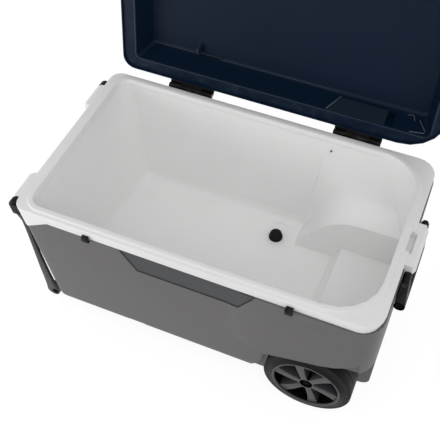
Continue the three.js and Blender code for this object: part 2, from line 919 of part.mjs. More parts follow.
// Tie-down loop across the seam, seated on the collar above and on the tub's side below.
function makeLoop(x) {
  const seat = -collarHalfWidth - seatGap;
  const back = -Math.max(collarHalfWidth, fenderReach(x, seamLevel, 0)) - seatGap;
  const round = (rise) => Array.from({ length: cornerSteps + 1 }, (_, k) => {
    const turn = right90 * (rise > 0 ? 1 - k / cornerSteps : k / cornerSteps);
    return [
      back - loopDepth + loopRound * (1 - Math.cos(turn)),
      loopLevel + rise * (loopHeight / 2 - loopRound * (1 - Math.sin(turn))),
    ];
  });
  const outline = [
    [seat, loopLevel - loopHeight / 2],
    [seat, loopLevel + loopHeight / 2],
    ...round(1),
    ...round(-1),
  ];
  const gap = block(
    [-beyond, beyond],
    [back - loopDepth + loopBar, seat + overrun],
    [loopLevel - loopHeight / 2 + loopBar, loopLevel + loopHeight / 2 - loopBar],
  );
  return prism('x', outline.reverse(), x - loopWidth / 2, x + loopWidth / 2)
    .subtract(gap)
    .subtract(tubForm(-seatGap).subtract(aboveSeam(0)));
}

function makeFoot(side) {
  const plan = {
    left: -footCentreX - footLength / 2,
    right: -footCentreX + footLength / 2,
    front: side * footCentreY - footWidth / 2,
    back: side * footCentreY + footWidth / 2,
    towCorner: footCorner,
    wheelCorner: footCorner,
  };
  return loft([
    roundedRing(plan, -footHeight, footDraft + smallestCorner),
    roundedRing(plan, -footHeight + smallestCorner, footDraft),
    roundedRing(plan, -seatGap),
  ]);
}

function makeDrainFitting() {
  const at = [drainX, drainY];
  const flangeFoot = floorLevel - sumpDepth + seatGap;
  const body = join([
    rod('z', drainPipeRadius, -drainPipeDrop, flangeFoot + overrun, at, smallSides),
    rod('z', drainFlangeRadius, flangeFoot, flangeFoot + drainFlangeThickness, at),
    rod('z', drainCrownRadius, flangeFoot, floorLevel + drainRise, at),
  ]);
  const bore = rod('z', drainBore, -beyond, floorLevel + drainRise - drainCapFloor, at, smallSides);
  const slots = Array.from({ length: drainSlotCount }, (_, k) => (
    block(
      [0, beyond],
      [-drainSlotWidth / 2, drainSlotWidth / 2],
      [flangeFoot + drainFlangeThickness, floorLevel + drainRise - drainCapFloor],
    ).rotate([0, 0, (k * 360) / drainSlotCount]).translate([drainX, drainY, 0])
  ));
  return body.subtract(bore).subtract(join(slots));
}

function makeDrainNut() {
  const at = [drainX, drainY];
  return rod('z', drainNutRadius, -seatGap - drainNutThickness, -seatGap, at, 6)
    .subtract(rod('z', drainPipeRadius + seatGap, -beyond, beyond, at, smallSides));
}

function makeDrainCap() {
  const top = -2 * seatGap - drainNutThickness;
  const at = [drainX, drainY];
  const ribs = Array.from({ length: drainCapRibs }, (_, k) => {
    const turn = (k / drainCapRibs) * 4 * right90;
    return rod('z', drainRibRadius, top - drainCapDepth, top, [
      drainX + drainCapRadius * Math.cos(turn),
      drainY + drainCapRadius * Math.sin(turn),
    ], 8);
  });
  return join([rod('z', drainCapRadius, top - drainCapDepth, top, at), ...ribs])
    .subtract(rod('z', drainPipeRadius + runningGap, top - drainCapDepth + drainCapFloor, beyond, at));
}

function makeAxle() {
  const half = wheelOuterFace - hubRecessDepth + axleCapThickness / 2;
  return rod('y', axleRadius, -half, half, [wheelX, axleLevel], smallSides);
}

function makeAxleCap(side) {
  const inner = wheelOuterFace - hubRecessDepth + seatGap;
  const at = [wheelX, axleLevel];
  const bore = rod('y', axleRadius + seatGap, ...reach(side, 0, inner + axleCapThickness / 2), at, smallSides);
  return rod('y', axleCapRadius, ...reach(side, inner, inner + axleCapThickness), at).subtract(bore);
}

// One wheel's pieces are drawn for the back wheel and turned over for the front one.
function onSide(side, shape) {
  return side > 0 ? shape : shape.mirror([0, 1, 0]);
}

function makeTyre(side) {
  const outer = wheelOuterFace;
  const inner = wheelOuterFace - wheelWidth;
  const bead = wheelRadius - tyreDepth + seatGap;
  const profile = [
    [bead, inner],
    [wheelRadius - tyreShoulder, inner],
    [wheelRadius - tyreShoulderStand / 3, inner + tyreShoulderStand / 2],
    [wheelRadius, inner + tyreShoulder],
    [wheelRadius, outer - tyreShoulder],
    [wheelRadius - tyreCheekDrop, outer - tyreCheekSet],
    [bead, outer],
    [bead, inner],
  ];
  return onSide(side, turned(profile, [wheelX, axleLevel], wheelSides));
}

// Spoke outline seen along the axle: swept sideways as it runs out to the rim.
function spokeOutline(k) {
  const start = radians(hubSpokePhase + (k * 360) / hubSpokeCount);
  const inner = hubBossRadius - hubBossWall;
  const outer = wheelRadius - tyreDepth - hubRimWall / 2;
  const sides = [-1, 1].map((edge) => Array.from({ length: hubSpokeSteps + 1 }, (_, step) => {
    const share = step / hubSpokeSteps;
    const radius = lerp(inner, outer, share);
    const sweep = radians(hubSpokeSweep) * share * share;
    const spread = (edge * hubSpokeWidth * lerp(0.5, 0.75, share)) / radius;
    const turn = start - sweep + spread;
    return [wheelX + radius * Math.cos(turn), axleLevel + radius * Math.sin(turn)];
  }));
  return [...sides[0], ...sides[1].reverse()];
}

function makeHub(side) {
  const outer = wheelOuterFace;
  const inner = wheelOuterFace - wheelWidth;
  const rim = wheelRadius - tyreDepth;
  const web = outer - hubWebSet;
  const boss = outer - hubBossSet;
  const profile = [
    [0, inner],
    [hubBossRadius, inner],
    [hubBossRadius, web - hubWebThickness],
    [rim - hubRimWall, web - hubWebThickness],
    [rim - hubRimWall, inner],
    [rim, inner],
    [rim, outer],
    [rim - hubRimWall / 2, outer],
    [rim - hubRimWall, outer - hubRimWall / 2],
    [rim - hubRimWall, web],
    [hubBossRadius, web],
    [hubBossRadius - hubBossWall / 3, boss],
    [hubBossRadius - hubBossWall, boss],
    [hubBossRadius - hubBossWall, outer - hubRecessDepth],
    [0, outer - hubRecessDepth],
  ];
  const at = [wheelX, axleLevel];
  const spokes = Array.from({ length: hubSpokeCount }, (_, k) => (
    prism('y', spokeOutline(k), web - hubWebThickness / 2, outer - hubSpokeSet)
  ));
  const core = rod('y', hubBossRadius - hubBossWall, outer - hubRecessDepth, outer + overrun, at);
  const bore = rod('y', axleRadius + runningGap, 0, beyond, at, smallSides);
  const hub = turned(profile, at, wheelSides).add(join(spokes)).subtract(core).subtract(bore);
  return side > 0 ? hub : hub.mirror([0, 1, 0]);
}

// Fixed leaf of a hinge on the collar's back, with its two end knuckles.
function makeHingeBase(x) {
  const left = x - hingeLength / 2;
  const rightEnd = x + hingeLength / 2;
  const face = collarHalfWidth + seatGap;
  const axis = [hingeAxisY, hingeAxisLevel];
  const plate = block([left, rightEnd], [face, face + hingeLeafThickness], [hingeBaseFoot, hingeBaseTop]);
  const knuckles = [[left, left + hingeEndKnuckle], [rightEnd - hingeEndKnuckle, rightEnd]].map((span) => (
    rod('x', hingeKnuckleRadius, ...span, axis, smallSides).add(block(
      span,
      [face, hingeAxisY],
      [hingeAxisLevel - hingeKnuckleRadius, hingeAxisLevel - hingeKnuckleRadius + hingeWebThickness],
    ))
  ));
  return join([plate, ...knuckles])
    .subtract(rod('x', hingePinRadius + seatGap, -beyond, beyond, axis, smallSides));
}

function makeHingePin(x) {
  return rod('x', hingePinRadius, x - hingeLength / 2, x + hingeLength / 2, [hingeAxisY, hingeAxisLevel], smallSides);
}

// Moving leaf of a hinge on the lid's back, with the middle knuckle, as it lies when the lid is closed.
function makeHingeLeaf(x) {
  const left = x - hingeLength / 2;
  const rightEnd = x + hingeLength / 2;
  const face = lidBack + seatGap;
  const foot = lidLevel + seatGap;
  const axis = [hingeAxisY, hingeAxisLevel];
  const span = [left + hingeEndKnuckle + seatGap, rightEnd - hingeEndKnuckle - seatGap];
  const plate = block([left, rightEnd], [face, face + hingeLeafThickness], [foot, foot + hingeLeafHeight]);
  const near = face + hingeLeafThickness;
  const web = prism('x', [
    [face, foot],
    [hingeAxisY - hingeKnuckleRadius, hingeAxisLevel],
    [hingeAxisY, hingeAxisLevel],
    [hingeAxisY + hingeKnuckleRadius / 2, hingeAxisLevel + hingeKnuckleRadius / 2],
    [near, foot + hingeLeafHeight / 2],
    [face, foot + hingeLeafHeight / 2],
  ], ...span);
  const band = prism('x', [
    [face, foot],
    [hingeAxisY - hingeKnuckleRadius, foot - lidSet],
    [hingeAxisY, hingeAxisLevel + hingeKnuckleRadius],
    [hingeAxisY + hingeKnuckleRadius / 2, hingeAxisLevel + hingeKnuckleRadius + runningGap],
    [near, foot + hingeLeafHeight / 2],
    [face, foot + hingeLeafHeight / 2],
  ], left, rightEnd);
  const clear = rod('x', hingeKnuckleRadius + runningGap, left - overrun, span[0], axis, smallSides)
    .add(rod('x', hingeKnuckleRadius + runningGap, span[1], rightEnd + overrun, axis, smallSides));
  return join([plate, band.subtract(clear), web, rod('x', hingeKnuckleRadius, ...span, axis, smallSides)])
    .subtract(rod('x', hingePinRadius + seatGap, -beyond, beyond, axis, smallSides));
}

// Lid plan at a level, drawing in a little towards the top.
function lidPlan(level) {
  const draft = (lidTopDraft * (level - lidLevel)) / lidHeight;
  return {
    left: -lidTow + draft,
    right: lidWheel - draft,
    front: -lidFront + draft,
    back: lidBack - draft,
    towCorner: lidTowCorner,
    wheelCorner: lidWheelCorner,
  };
}

// The lid's outer form drawn in by an inset, open below by the overrun.
function lidForm(inset, foot) {
  const radius = Math.max(lidEdgeRadius - inset, smallestCorner);
  const edge = roundedEdge(lidLevel + lidHeight - inset, radius, -1).reverse();
  const rings = edge.map(({ level, stand }) => roundedRing(lidPlan(level), level, inset + stand));
  return loft([roundedRing(lidPlan(foot), foot, inset), ...rings]);
}

// Level of the lid's underside within its skirt.
const trayFoot = lidLevel + lipLevel - ledgeLevel;

// Tray form inside the lid: offset 0 is its hollow.
function trayForm(offset, foot) {
  const plan = (level) => {
    const share = (level - trayFoot) / trayDepth;
    return {
      left: -lidTow + trayTowRim + trayTowDraft * share,
      right: lidWheel - trayWheelRim - trayWheelDraft * share,
      front: -lidFront + trayFrontRim + traySideDraft * share,
      back: lidBack - trayBackRim - traySideDraft * share,
      towCorner: trayTowCorner,
      wheelCorner: trayWheelCorner,
    };
  };
  const top = trayFoot + trayDepth + offset;
  const edge = roundedEdge(top, trayEdgeRadius + offset, -1).reverse();
  const rings = edge.map(({ level, stand }) => roundedRing(plan(level), level, stand - offset));
  const back = lidBack - trayBackRim + offset;
  const pocket = prism('y', [
    [pocketStart - offset, foot],
    [pocketEnd + offset, foot],
    [pocketEnd + offset, trayFoot + pocketDepth + offset],
    [pocketStart + pocketSlant - offset, trayFoot + pocketDepth + offset],
    [pocketStart - offset, trayFoot],
  ], 0, back);
  return loft([roundedRing(plan(foot), foot, -offset), ...rings]).add(pocket);
}

function makeLidShell() {
  const panelPlan = lidPlan(lidLevel + lidHeight);
  const top = lidLevel + lidHeight;
  const panel = loft([
    roundedRing(panelPlan, top - lidPanelDepth, lidPanelMargin),
    roundedRing(panelPlan, top + overrun, lidPanelMargin - lidPanelDepth),
  ]);
  return lidForm(0, lidLevel).subtract(lidForm(lidWall + lidPanelDepth, lidLevel - overrun)
    .intersect(block([-beyond, beyond], [-beyond, beyond], [-beyond, top - lidWall - lidPanelDepth])))
    .subtract(lidForm(lidWall, lidLevel - overrun)
      .intersect(block([-beyond, beyond], [-beyond, beyond], [-beyond, top - lidEdgeRadius])))
    .subtract(panel);
}

function makeLidLiner() {
  const flange = lidForm(lidWall + seatGap, trayFoot)
    .intersect(block([-beyond, beyond], [-beyond, beyond], [trayFoot, trayFoot + lidFlangeThickness]));
  return trayForm(linerWall, trayFoot).add(flange).subtract(trayForm(0, trayFoot - overrun));
}

function makeLidFoam() {
  const foot = trayFoot + lidFlangeThickness + seatGap;
  return lidForm(lidWall + lidPanelDepth + seatGap, foot)
    .subtract(trayForm(linerWall + seatGap, trayFoot - overrun));
}

// Tow arm outline seen from the front: a round head, a thin curved arm and a round foot.
function towOutline() {
  const spine = towSpineShares.map(([down, over, half]) => ({
    x: towPivotX + towArmFoot * over,
    z: towPivotLevel - towArmReach * down,
    half: towArmHalf * half,
  }));
  const footX = towPivotX + towArmFoot;
  const footZ = towPivotLevel - towArmReach;
  const left = spine.map(({ x, z, half }) => [x - half, z]);
  const right = spine.map(({ x, z, half }) => [x + half, z]).reverse();
  const round = (x, z, radius, start) => Array.from({ length: 2 * cornerSteps + 1 }, (_, k) => {
    const turn = start + (k / cornerSteps) * right90;
    return [x + radius * Math.cos(turn), z + radius * Math.sin(turn)];
  });
  return [
    ...left,
    ...round(footX, footZ, towEndRadius, 2 * right90),
    ...right,
    ...round(towPivotX, towPivotLevel, towHeadRadius, 0),
  ];
}

// Peg at the top of an arm that the black head is pressed over.
function towTenonBlock(side, grow) {
  const middle = side * (towArmInner + towArmWidth / 2);
  const split = towPivotLevel - towSplit;
  const [down, over] = towSpineShares[0];
  const centre = towPivotX + towArmFoot * over * (towSplit / (towArmReach * down));
  return block(
    [centre - towTenonHalf - grow, centre + towTenonHalf + grow],
    [middle - towTenonWidth / 2 - grow, middle + towTenonWidth / 2 + grow],
    [split - overrun, split + towTenon - towPinRadius + grow],
  );
}

function makeTowFrame() {
  const split = towPivotLevel - towSplit - seatGap;
  const arms = [1, -1].map((side) => (
    prism('y', towOutline(), ...reach(side, towArmInner, towArmInner + towArmWidth), towArmBevel)
      .intersect(block([-beyond, beyond], [-beyond, beyond], [-beyond, split]))
      .add(towTenonBlock(side, 0))
  ));
  const at = [towPivotX + towArmFoot, towPivotLevel - towArmReach];
  const middle = towArmInner + towArmWidth / 2;
  return join([...arms, rod('y', towBarRadius, -middle, middle, at, smallSides)]);
}

function makeTowCap(side) {
  const split = towPivotLevel - towSplit;
  const bore = rod('y', towPinRadius + runningGap, -beyond, beyond, [towPivotX, towPivotLevel], smallSides);
  return prism('y', towOutline(), ...reach(side, towHeadInner, towHeadInner + towHeadWidth), towHeadBevel)
    .intersect(block([-beyond, beyond], [-beyond, beyond], [split, beyond]))
    .subtract(towTenonBlock(side, seatGap))
    .subtract(bore);
}

function makeTowGrip() {
  const at = [towPivotX + towArmFoot, towPivotLevel - towArmReach];
  const half = towArmInner - seatGap;
  const profile = [
    [0, -half],
    [towGripRadius - towGripEdge, -half],
    [towGripRadius, -half + towGripEdge],
    [towGripRadius, half - towGripEdge],
    [towGripRadius - towGripEdge, half],
    [0, half],
  ];
  return turned(profile, at).subtract(rod('y', towBarRadius + seatGap, -beyond, beyond, at, smallSides));
}

function makeTowPin(side) {
  const at = [towPivotX, towPivotLevel];
  const seat = towHeadInner - towPinSeat;
  const outer = towHeadInner + towHeadWidth + seatGap;
  return rod('y', towPinRadius, ...reach(side, seat, outer + towPinHead), at, smallSides)
    .add(rod('y', towPinHeadRadius, ...reach(side, outer, outer + towPinHead), at, smallSides));
}

// Arm of the lift handle: an eye round the pin, widening down to the round end of the grip.
function liftArm(side) {
  const round = (x, z, radius, start) => Array.from({ length: 2 * cornerSteps + 1 }, (_, k) => {
    const turn = start + (k / cornerSteps) * right90;
    return [x + radius * Math.cos(turn), z + radius * Math.sin(turn)];
  });
  const outline = [
    ...round(liftBarX, liftBarLevel, liftBarRadius, 2 * right90),
    ...round(liftPivotX, liftPivotLevel, liftEyeRadius, 0),
  ];
  const eye = rod('y', liftEyeRadius, ...reach(side, liftEyeInner, liftHalf - liftArmWidth / 2), [
    liftPivotX,
    liftPivotLevel,
  ], smallSides);
  return prism('y', outline, ...reach(side, liftArmInner, liftHalf), liftArmBevel).add(eye);
}

function makeLiftFrame() {
  const middle = liftHalf - liftArmWidth / 2;
  const core = rod('y', liftCoreRadius, -middle, middle, [liftBarX, liftBarLevel]);
  const bore = rod('y', liftPinRadius + runningGap, -beyond, beyond, [liftPivotX, liftPivotLevel], smallSides);
  return join([liftArm(1), liftArm(-1), core]).subtract(bore);
}

function makeLiftGrip() {
  const half = liftArmInner - seatGap;
  const at = [liftBarX, liftBarLevel];
  return rod('y', liftBarRadius, -half, half, at)
    .subtract(rod('y', liftCoreRadius + seatGap, -beyond, beyond, at));
}

function makeLiftPin(side) {
  const at = [liftPivotX, liftPivotLevel];
  const outer = liftHalf + seatGap;
  return rod('y', liftPinRadius, ...reach(side, liftEyeInner - liftPinSeat, outer + liftPinHead), at, smallSides)
    .add(rod('y', liftPinHeadRadius, ...reach(side, outer, outer + liftPinHead), at, smallSides));
}

// Adds a named mesh to a group, its solid given in the part's frame and kept relative to the group.
function place(group, name, shape, finish) {
  const [color, roughness, metalness] = finishes[finish];
  const mesh = shape.getMesh();
  const geometry = new THREE.BufferGeometry();
  geometry.setAttribute('position', new THREE.Float32BufferAttribute(mesh.vertProperties, 3));
  geometry.setIndex(new THREE.BufferAttribute(mesh.triVerts, 1));
  geometry.translate(-group.position.x, -group.position.y, -group.position.z);
  geometry.computeVertexNormals();
  const material = new THREE.MeshStandardMaterial({ color, roughness, metalness });
  const node = new THREE.Mesh(geometry, material);
  node.name = name;
  group.add(node);
}

const cooler = new THREE.Group();

const tub = new THREE.Group();
place(tub, 'tub_shell', makeShell(), 'shell');
place(tub, 'tub_foam', makeFoam(), 'foam');
place(tub, 'tub_liner', makeLiner(), 'liner');
place(tub, 'collar', makeCollar(), 'collar');
place(tub, 'front_plate', makePlate(), 'gloss');
place(tub, 'tie_loop_left', makeLoop(loopCentres[0]), 'black');
place(tub, 'tie_loop_right', makeLoop(loopCentres[1]), 'black');
place(tub, 'foot_front', makeFoot(-1), 'grip');
place(tub, 'foot_back', makeFoot(1), 'grip');
place(tub, 'drain_fitting', makeDrainFitting(), 'black');
place(tub, 'drain_nut', makeDrainNut(), 'black');
place(tub, 'axle', makeAxle(), 'steel');
place(tub, 'axle_cap_front', makeAxleCap(-1), 'black');
place(tub, 'axle_cap_back', makeAxleCap(1), 'black');
['left', 'right'].forEach((name, k) => {
  place(tub, `hinge_base_${name}`, makeHingeBase(hingeCentres[k]), 'black');
  place(tub, `hinge_pin_${name}`, makeHingePin(hingeCentres[k]), 'steel');
});
[['front', -1], ['back', 1]].forEach(([name, side]) => {
  place(tub, `tow_pin_${name}`, makeTowPin(side), 'black');
  place(tub, `lift_pin_${name}`, makeLiftPin(side), 'black');
});
cooler.add(tub);

const drainCap = new THREE.Group();
drainCap.position.set(drainX, drainY, 0);
place(drainCap, 'drain_cap', makeDrainCap(), 'black');
cooler.add(drainCap);

const lid = new THREE.Group();
lid.position.set(0, hingeAxisY, hingeAxisLevel);
place(lid, 'lid_shell', makeLidShell(), 'navy');
place(lid, 'lid_liner', makeLidLiner(), 'navy');
place(lid, 'lid_foam', makeLidFoam(), 'foam');
place(lid, 'hinge_leaf_left', makeHingeLeaf(hingeCentres[0]), 'black');
place(lid, 'hinge_leaf_right', makeHingeLeaf(hingeCentres[1]), 'black');
lid.rotation.x = -radians(lidOpenAngle);
cooler.add(lid);

const towHandle = new THREE.Group();
towHandle.position.set(towPivotX, 0, towPivotLevel);
place(towHandle, 'tow_frame', makeTowFrame(), 'arm');
place(towHandle, 'tow_cap_front', makeTowCap(-1), 'black');
place(towHandle, 'tow_cap_back', makeTowCap(1), 'black');
place(towHandle, 'tow_grip', makeTowGrip(), 'grip');
cooler.add(towHandle);

const liftHandle = new THREE.Group();
liftHandle.position.set(liftPivotX, 0, liftPivotLevel);
place(liftHandle, 'lift_frame', makeLiftFrame(), 'black');
place(liftHandle, 'lift_grip', makeLiftGrip(), 'grip');
cooler.add(liftHandle);

[['front', -1], ['back', 1]].forEach(([name, side]) => {
  const wheel = new THREE.Group();
  wheel.position.set(wheelX, 0, axleLevel);
  place(wheel, `tyre_${name}`, makeTyre(side), 'tyre');
  place(wheel, `hub_${name}`, makeHub(side), 'hub');
  cooler.add(wheel);
});

export default cooler;
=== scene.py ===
"""Looks of a wheeled cooler box with its lid open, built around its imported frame.

The wheels are at the +X end, the tow handle at the -X end, the front is -Y and
Z is up, as in the frame. Sizes here are in millimetres, and a finished mesh is
brought to metres.
"""

from __future__ import annotations

import json
import logging
import math
from dataclasses import dataclass, field, replace
from enum import Enum
from typing import Callable, Iterable, Sequence

import bmesh
import bpy
from mathutils import Matrix, Vector

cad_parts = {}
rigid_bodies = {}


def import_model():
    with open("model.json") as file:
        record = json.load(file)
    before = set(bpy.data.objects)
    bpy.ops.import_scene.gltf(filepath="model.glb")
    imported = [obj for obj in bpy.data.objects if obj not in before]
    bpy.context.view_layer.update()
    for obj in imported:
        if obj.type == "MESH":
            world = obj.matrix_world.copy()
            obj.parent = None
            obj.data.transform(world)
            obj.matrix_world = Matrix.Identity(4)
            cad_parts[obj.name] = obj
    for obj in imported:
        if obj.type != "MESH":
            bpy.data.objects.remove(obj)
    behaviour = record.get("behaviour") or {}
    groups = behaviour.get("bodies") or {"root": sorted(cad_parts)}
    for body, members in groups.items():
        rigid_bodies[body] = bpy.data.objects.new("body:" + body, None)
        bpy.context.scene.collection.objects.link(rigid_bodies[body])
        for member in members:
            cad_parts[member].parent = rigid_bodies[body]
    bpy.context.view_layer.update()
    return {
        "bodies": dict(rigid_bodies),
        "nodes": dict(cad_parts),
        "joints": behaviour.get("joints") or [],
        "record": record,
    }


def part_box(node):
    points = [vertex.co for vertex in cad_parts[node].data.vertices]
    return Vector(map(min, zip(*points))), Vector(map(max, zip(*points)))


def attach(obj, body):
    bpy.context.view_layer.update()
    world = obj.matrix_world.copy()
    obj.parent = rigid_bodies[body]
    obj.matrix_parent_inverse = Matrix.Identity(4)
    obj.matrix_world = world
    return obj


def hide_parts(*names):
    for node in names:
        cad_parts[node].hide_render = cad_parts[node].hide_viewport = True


LOG = logging.getLogger("cooler")
METRE = 1000.0
FULL_TURN = 2 * math.pi
SEAT = 0.4  # gap between a tyre's bead and the hub's rim
BURIED = 1.0  # depth of a detail's foot in its face
FACING = 0.9  # least cosine of a face that looks a given way
JOIN = 1e-3  # points nearer than this are one
WELD = 4e-3  # the same, in a copy of a frame node
FLAT = 0.4  # degrees under which neighbouring faces are merged
CREASE = 34.0
FINE_CREASE = 30.0
WIDE_CREASE = 40.0
LID_AXIS = (234.0, 310.0)
LID_OPEN = 97.0
Colour = tuple[float, float, float]
Point = tuple[float, float, float]
Pair = tuple[float, float]
Softness = tuple[float, int]
Socket = bpy.types.NodeSocket
Inputs = dict[str | int, object]
AXES = {"x": Vector((1, 0, 0)), "y": Vector((0, 1, 0)), "z": Vector((0, 0, 1))}


class Body(Enum):
    """The moving groups of the cooler."""

    TUB = "tub"
    LID = "lid"
    TOW = "tow_handle"
    LIFT = "lift_handle"
    WHEEL_FRONT = "wheel_front"
    WHEEL_BACK = "wheel_back"
    DRAIN_CAP = "drain_cap"


class Slot(Enum):
    """The record's material slots."""

    SHELL = "grey_shell"
    LINER = "white_liner"
    COLLAR = "white_collar"
    FOAM = "foam"
    PLATE = "grey_plate"
    TRIM = "black_plastic"
    SOFT = "black_rubber"
    LID = "navy_lid"
    ARM = "grey_arm"
    STEEL = "steel"
    TYRE = "dark_tyre"
    HUB = "grey_hub"


class Tone(Enum):
    """Second finishes for some faces of a piece, or for a small detail; each paints light or shade
    into the colour.
    """

    # Near-black painted shade for hollows, recess floors and dark ends
    PAINTED_SHADE = "well_black"
    # Lighter navy, a painted sheen on lines, rims and the clip
    PAINTED_SHEEN = "lid_sheen"
    # Pale blue-grey, a painted glint on thin edges
    PAINTED_GLINT = "lid_glint"
    # Lighter navy, painted as the pocket's lit slope
    LIT_POCKET = "lid_pocket"


class Side(Enum):
    """The cooler's two long sides, with the sign of their Y."""

    FRONT = -1
    BACK = 1

    @property
    def word(self) -> str:
        """The side's name as the frame's nodes carry it."""
        return self.name.lower()


class NodeBoard:
    """Adds and joins the nodes of one material."""

    def __init__(self, name: str) -> None:
        """Starts an empty material with a surface shader and its output."""
        self.material = bpy.data.materials.new(name)
        self.material.use_nodes = True
        self.tree = self.material.node_tree
        self.tree.nodes.clear()
        self.output = self.add("ShaderNodeOutputMaterial")
        self.shader = self.add("ShaderNodeBsdfPrincipled")
        self.feed(self.output, {"Surface": self.shader.outputs["BSDF"]})
        self.place = self.add("ShaderNodeTexCoord").outputs["Object"]

    def feed(self, node: bpy.types.Node, inputs: Inputs) -> None:
        """Sets a node's inputs to values, and links those that are given an output."""
        for key, value in inputs.items():
            if isinstance(value, Socket):
                self.tree.links.new(value, node.inputs[key])
            else:
                node.inputs[key].default_value = value

    def add(self, kind: str, inputs: Inputs | None = None, **settings: object) -> bpy.types.Node:
        """Adds a node of a kind, sets its properties and feeds its inputs."""
        node = self.tree.nodes.new(kind)
        for key, value in settings.items():
            setattr(node, key, value)
        self.feed(node, inputs or {})
        return node

    def coat(self, inputs: Inputs) -> bpy.types.Material:
        """Feeds the surface shader and hands over the material."""
        self.feed(self.shader, inputs)
        return self.material

    def stretched(self, scale: Point) -> Socket:
        """Object coordinates scaled apart along each axis."""
        inputs = {"Scale": scale, "Vector": self.place}
        return self.add("ShaderNodeMapping", inputs).outputs["Vector"]

    def noise(
        self, scale: float, detail: float = 3.0, rough: float = 0.55, vector: Socket | None = None
    ) -> Socket:
        """Noise over object coordinates.

        Args:
            scale: Cells per metre.
            detail: Octaves.
            rough: Share that each octave keeps.
            vector: Coordinates, or None for the object's own.

        Returns:
            The noise's factor.
        """
        inputs = {"Scale": scale, "Detail": detail, "Roughness": rough}
        inputs["Vector"] = vector or self.place
        return self.add("ShaderNodeTexNoise", inputs).outputs["Fac"]

    def spread(
        self, source: Socket, low: float, high: float, start: float = 0.3, end: float = 0.7
    ) -> Socket:
        """Maps a factor from start..end to low..high."""
        inputs = {"From Min": start, "From Max": end, "To Min": low, "To Max": high}
        inputs["Value"] = source
        return self.add("ShaderNodeMapRange", inputs).outputs["Result"]

    def maths(self, operation: str, first: Socket, second: Socket | float) -> Socket:
        """An operation on two factors."""
        return self.add("ShaderNodeMath", {0: first, 1: second}, operation=operation).outputs[0]

    def tint(self, factor: Socket, low: Colour | Socket, high: Colour) -> Socket:
        """A colour between two, by a factor."""
        start = (*low, 1.0) if isinstance(low, tuple) else low
        inputs = {0: factor, 6: start, 7: (*high, 1.0)}
        return self.add("ShaderNodeMix", inputs, data_type="RGBA").outputs[2]

    def worn_edges(self, noise_scale: float) -> Socket:
        """A factor that is high in patches along the shape's outer edges."""
        point = self.add("ShaderNodeNewGeometry").outputs["Pointiness"]
        edge = self.spread(point, 0.0, 1.0, 0.53, 0.62)
        patch = self.spread(self.noise(noise_scale, 4.0), 0.0, 1.0, 0.45, 0.65)
        return self.maths("MULTIPLY", edge, patch)

    def height(self, low: float, high: float) -> Socket:
        """A factor that falls from 1 at a low level to 0 at a high one, in metres."""
        apart = self.add("ShaderNodeSeparateXYZ", {0: self.place})
        return self.spread(apart.outputs["Z"], 1.0, 0.0, low, high)

    def rounded(self, radius: float) -> Socket:
        """A surface direction that is rounded over at edges, by a radius in metres."""
        return self.add("ShaderNodeBevel", {"Radius": radius}, samples=4).outputs["Normal"]

    def bump(
        self, height: Socket, depth: float, strength: float = 1.0, below: Socket | None = None
    ) -> Socket:
        """A bump of a depth in metres, on top of another when one is given."""
        inputs = {"Strength": strength, "Distance": depth, "Height": height}
        if below is not None:
            inputs["Normal"] = below
        return self.add("ShaderNodeBump", inputs).outputs["Normal"]


def shade(colour: Colour, factor: float) -> Colour:
    """A colour made lighter or darker by a factor."""
    return tuple(min(1.0, channel * factor) for channel in colour)


def toward(colour: Colour, other: Colour, share: float) -> Colour:
    """A colour moved a share of the way to another."""
    return tuple(a + (b - a) * share for a, b in zip(colour, other))


@dataclass(frozen=True)
class Moulding:
    """A moulded plastic skin: fine grain, cloudy colour, scuffs, worn edges and low dust."""

    name: str
    colour: Colour
    roughness: float
    cloud: float = 0.05
    cloud_scale: float = 9.0
    grain_scale: float = 1400.0
    grain_depth: float = 0.00006
    scuff: float = 0.05
    scuff_scale: float = 60.0
    specular: float = 0.5
    edge_round: float = 0.0007
    wave_scale: float = 7.0
    wave_depth: float = 0.0003
    wear: float = 0.12
    wear_scale: float = 40.0
    wear_tone: Colour = (0.45, 0.45, 0.45)
    dust: float = 0.0
    dust_scale: float = 22.0
    dust_tone: Colour = (0.30, 0.28, 0.25)
    dust_level: Pair = (-0.03, 0.09)

    def build(self) -> bpy.types.Material:
        """Makes the material."""
        board = NodeBoard(self.name)
        cloud = board.spread(board.noise(self.cloud_scale, 4.0), 0.0, 1.0)
        darker, lighter = shade(self.colour, 1 - self.cloud), shade(self.colour, 1 + self.cloud)
        colour = board.tint(cloud, darker, lighter)
        rubbed = toward(self.colour, self.wear_tone, self.wear)
        colour = board.tint(board.worn_edges(self.wear_scale), colour, rubbed)
        if self.dust:
            patches = board.spread(board.noise(self.dust_scale, 5.0), 0.2, 1.0)
            low = board.maths("MULTIPLY", board.height(*self.dust_level), patches)
            colour = board.tint(low, colour, toward(self.colour, self.dust_tone, self.dust))
        rub = board.noise(self.scuff_scale, 5.0, 0.7, board.stretched((1.0, 1.0, 4.0)))
        rough = board.spread(rub, self.roughness - self.scuff, self.roughness + self.scuff)
        edges = board.rounded(self.edge_round)
        wave = board.bump(board.noise(self.wave_scale, 2.0), self.wave_depth, 0.2, edges)
        grain = board.bump(board.noise(self.grain_scale, 2.0), self.grain_depth, 0.6, wave)
        inputs = {"Base Color": colour, "Roughness": rough, "Normal": grain}
        return board.coat({**inputs, "Specular IOR Level": self.specular})


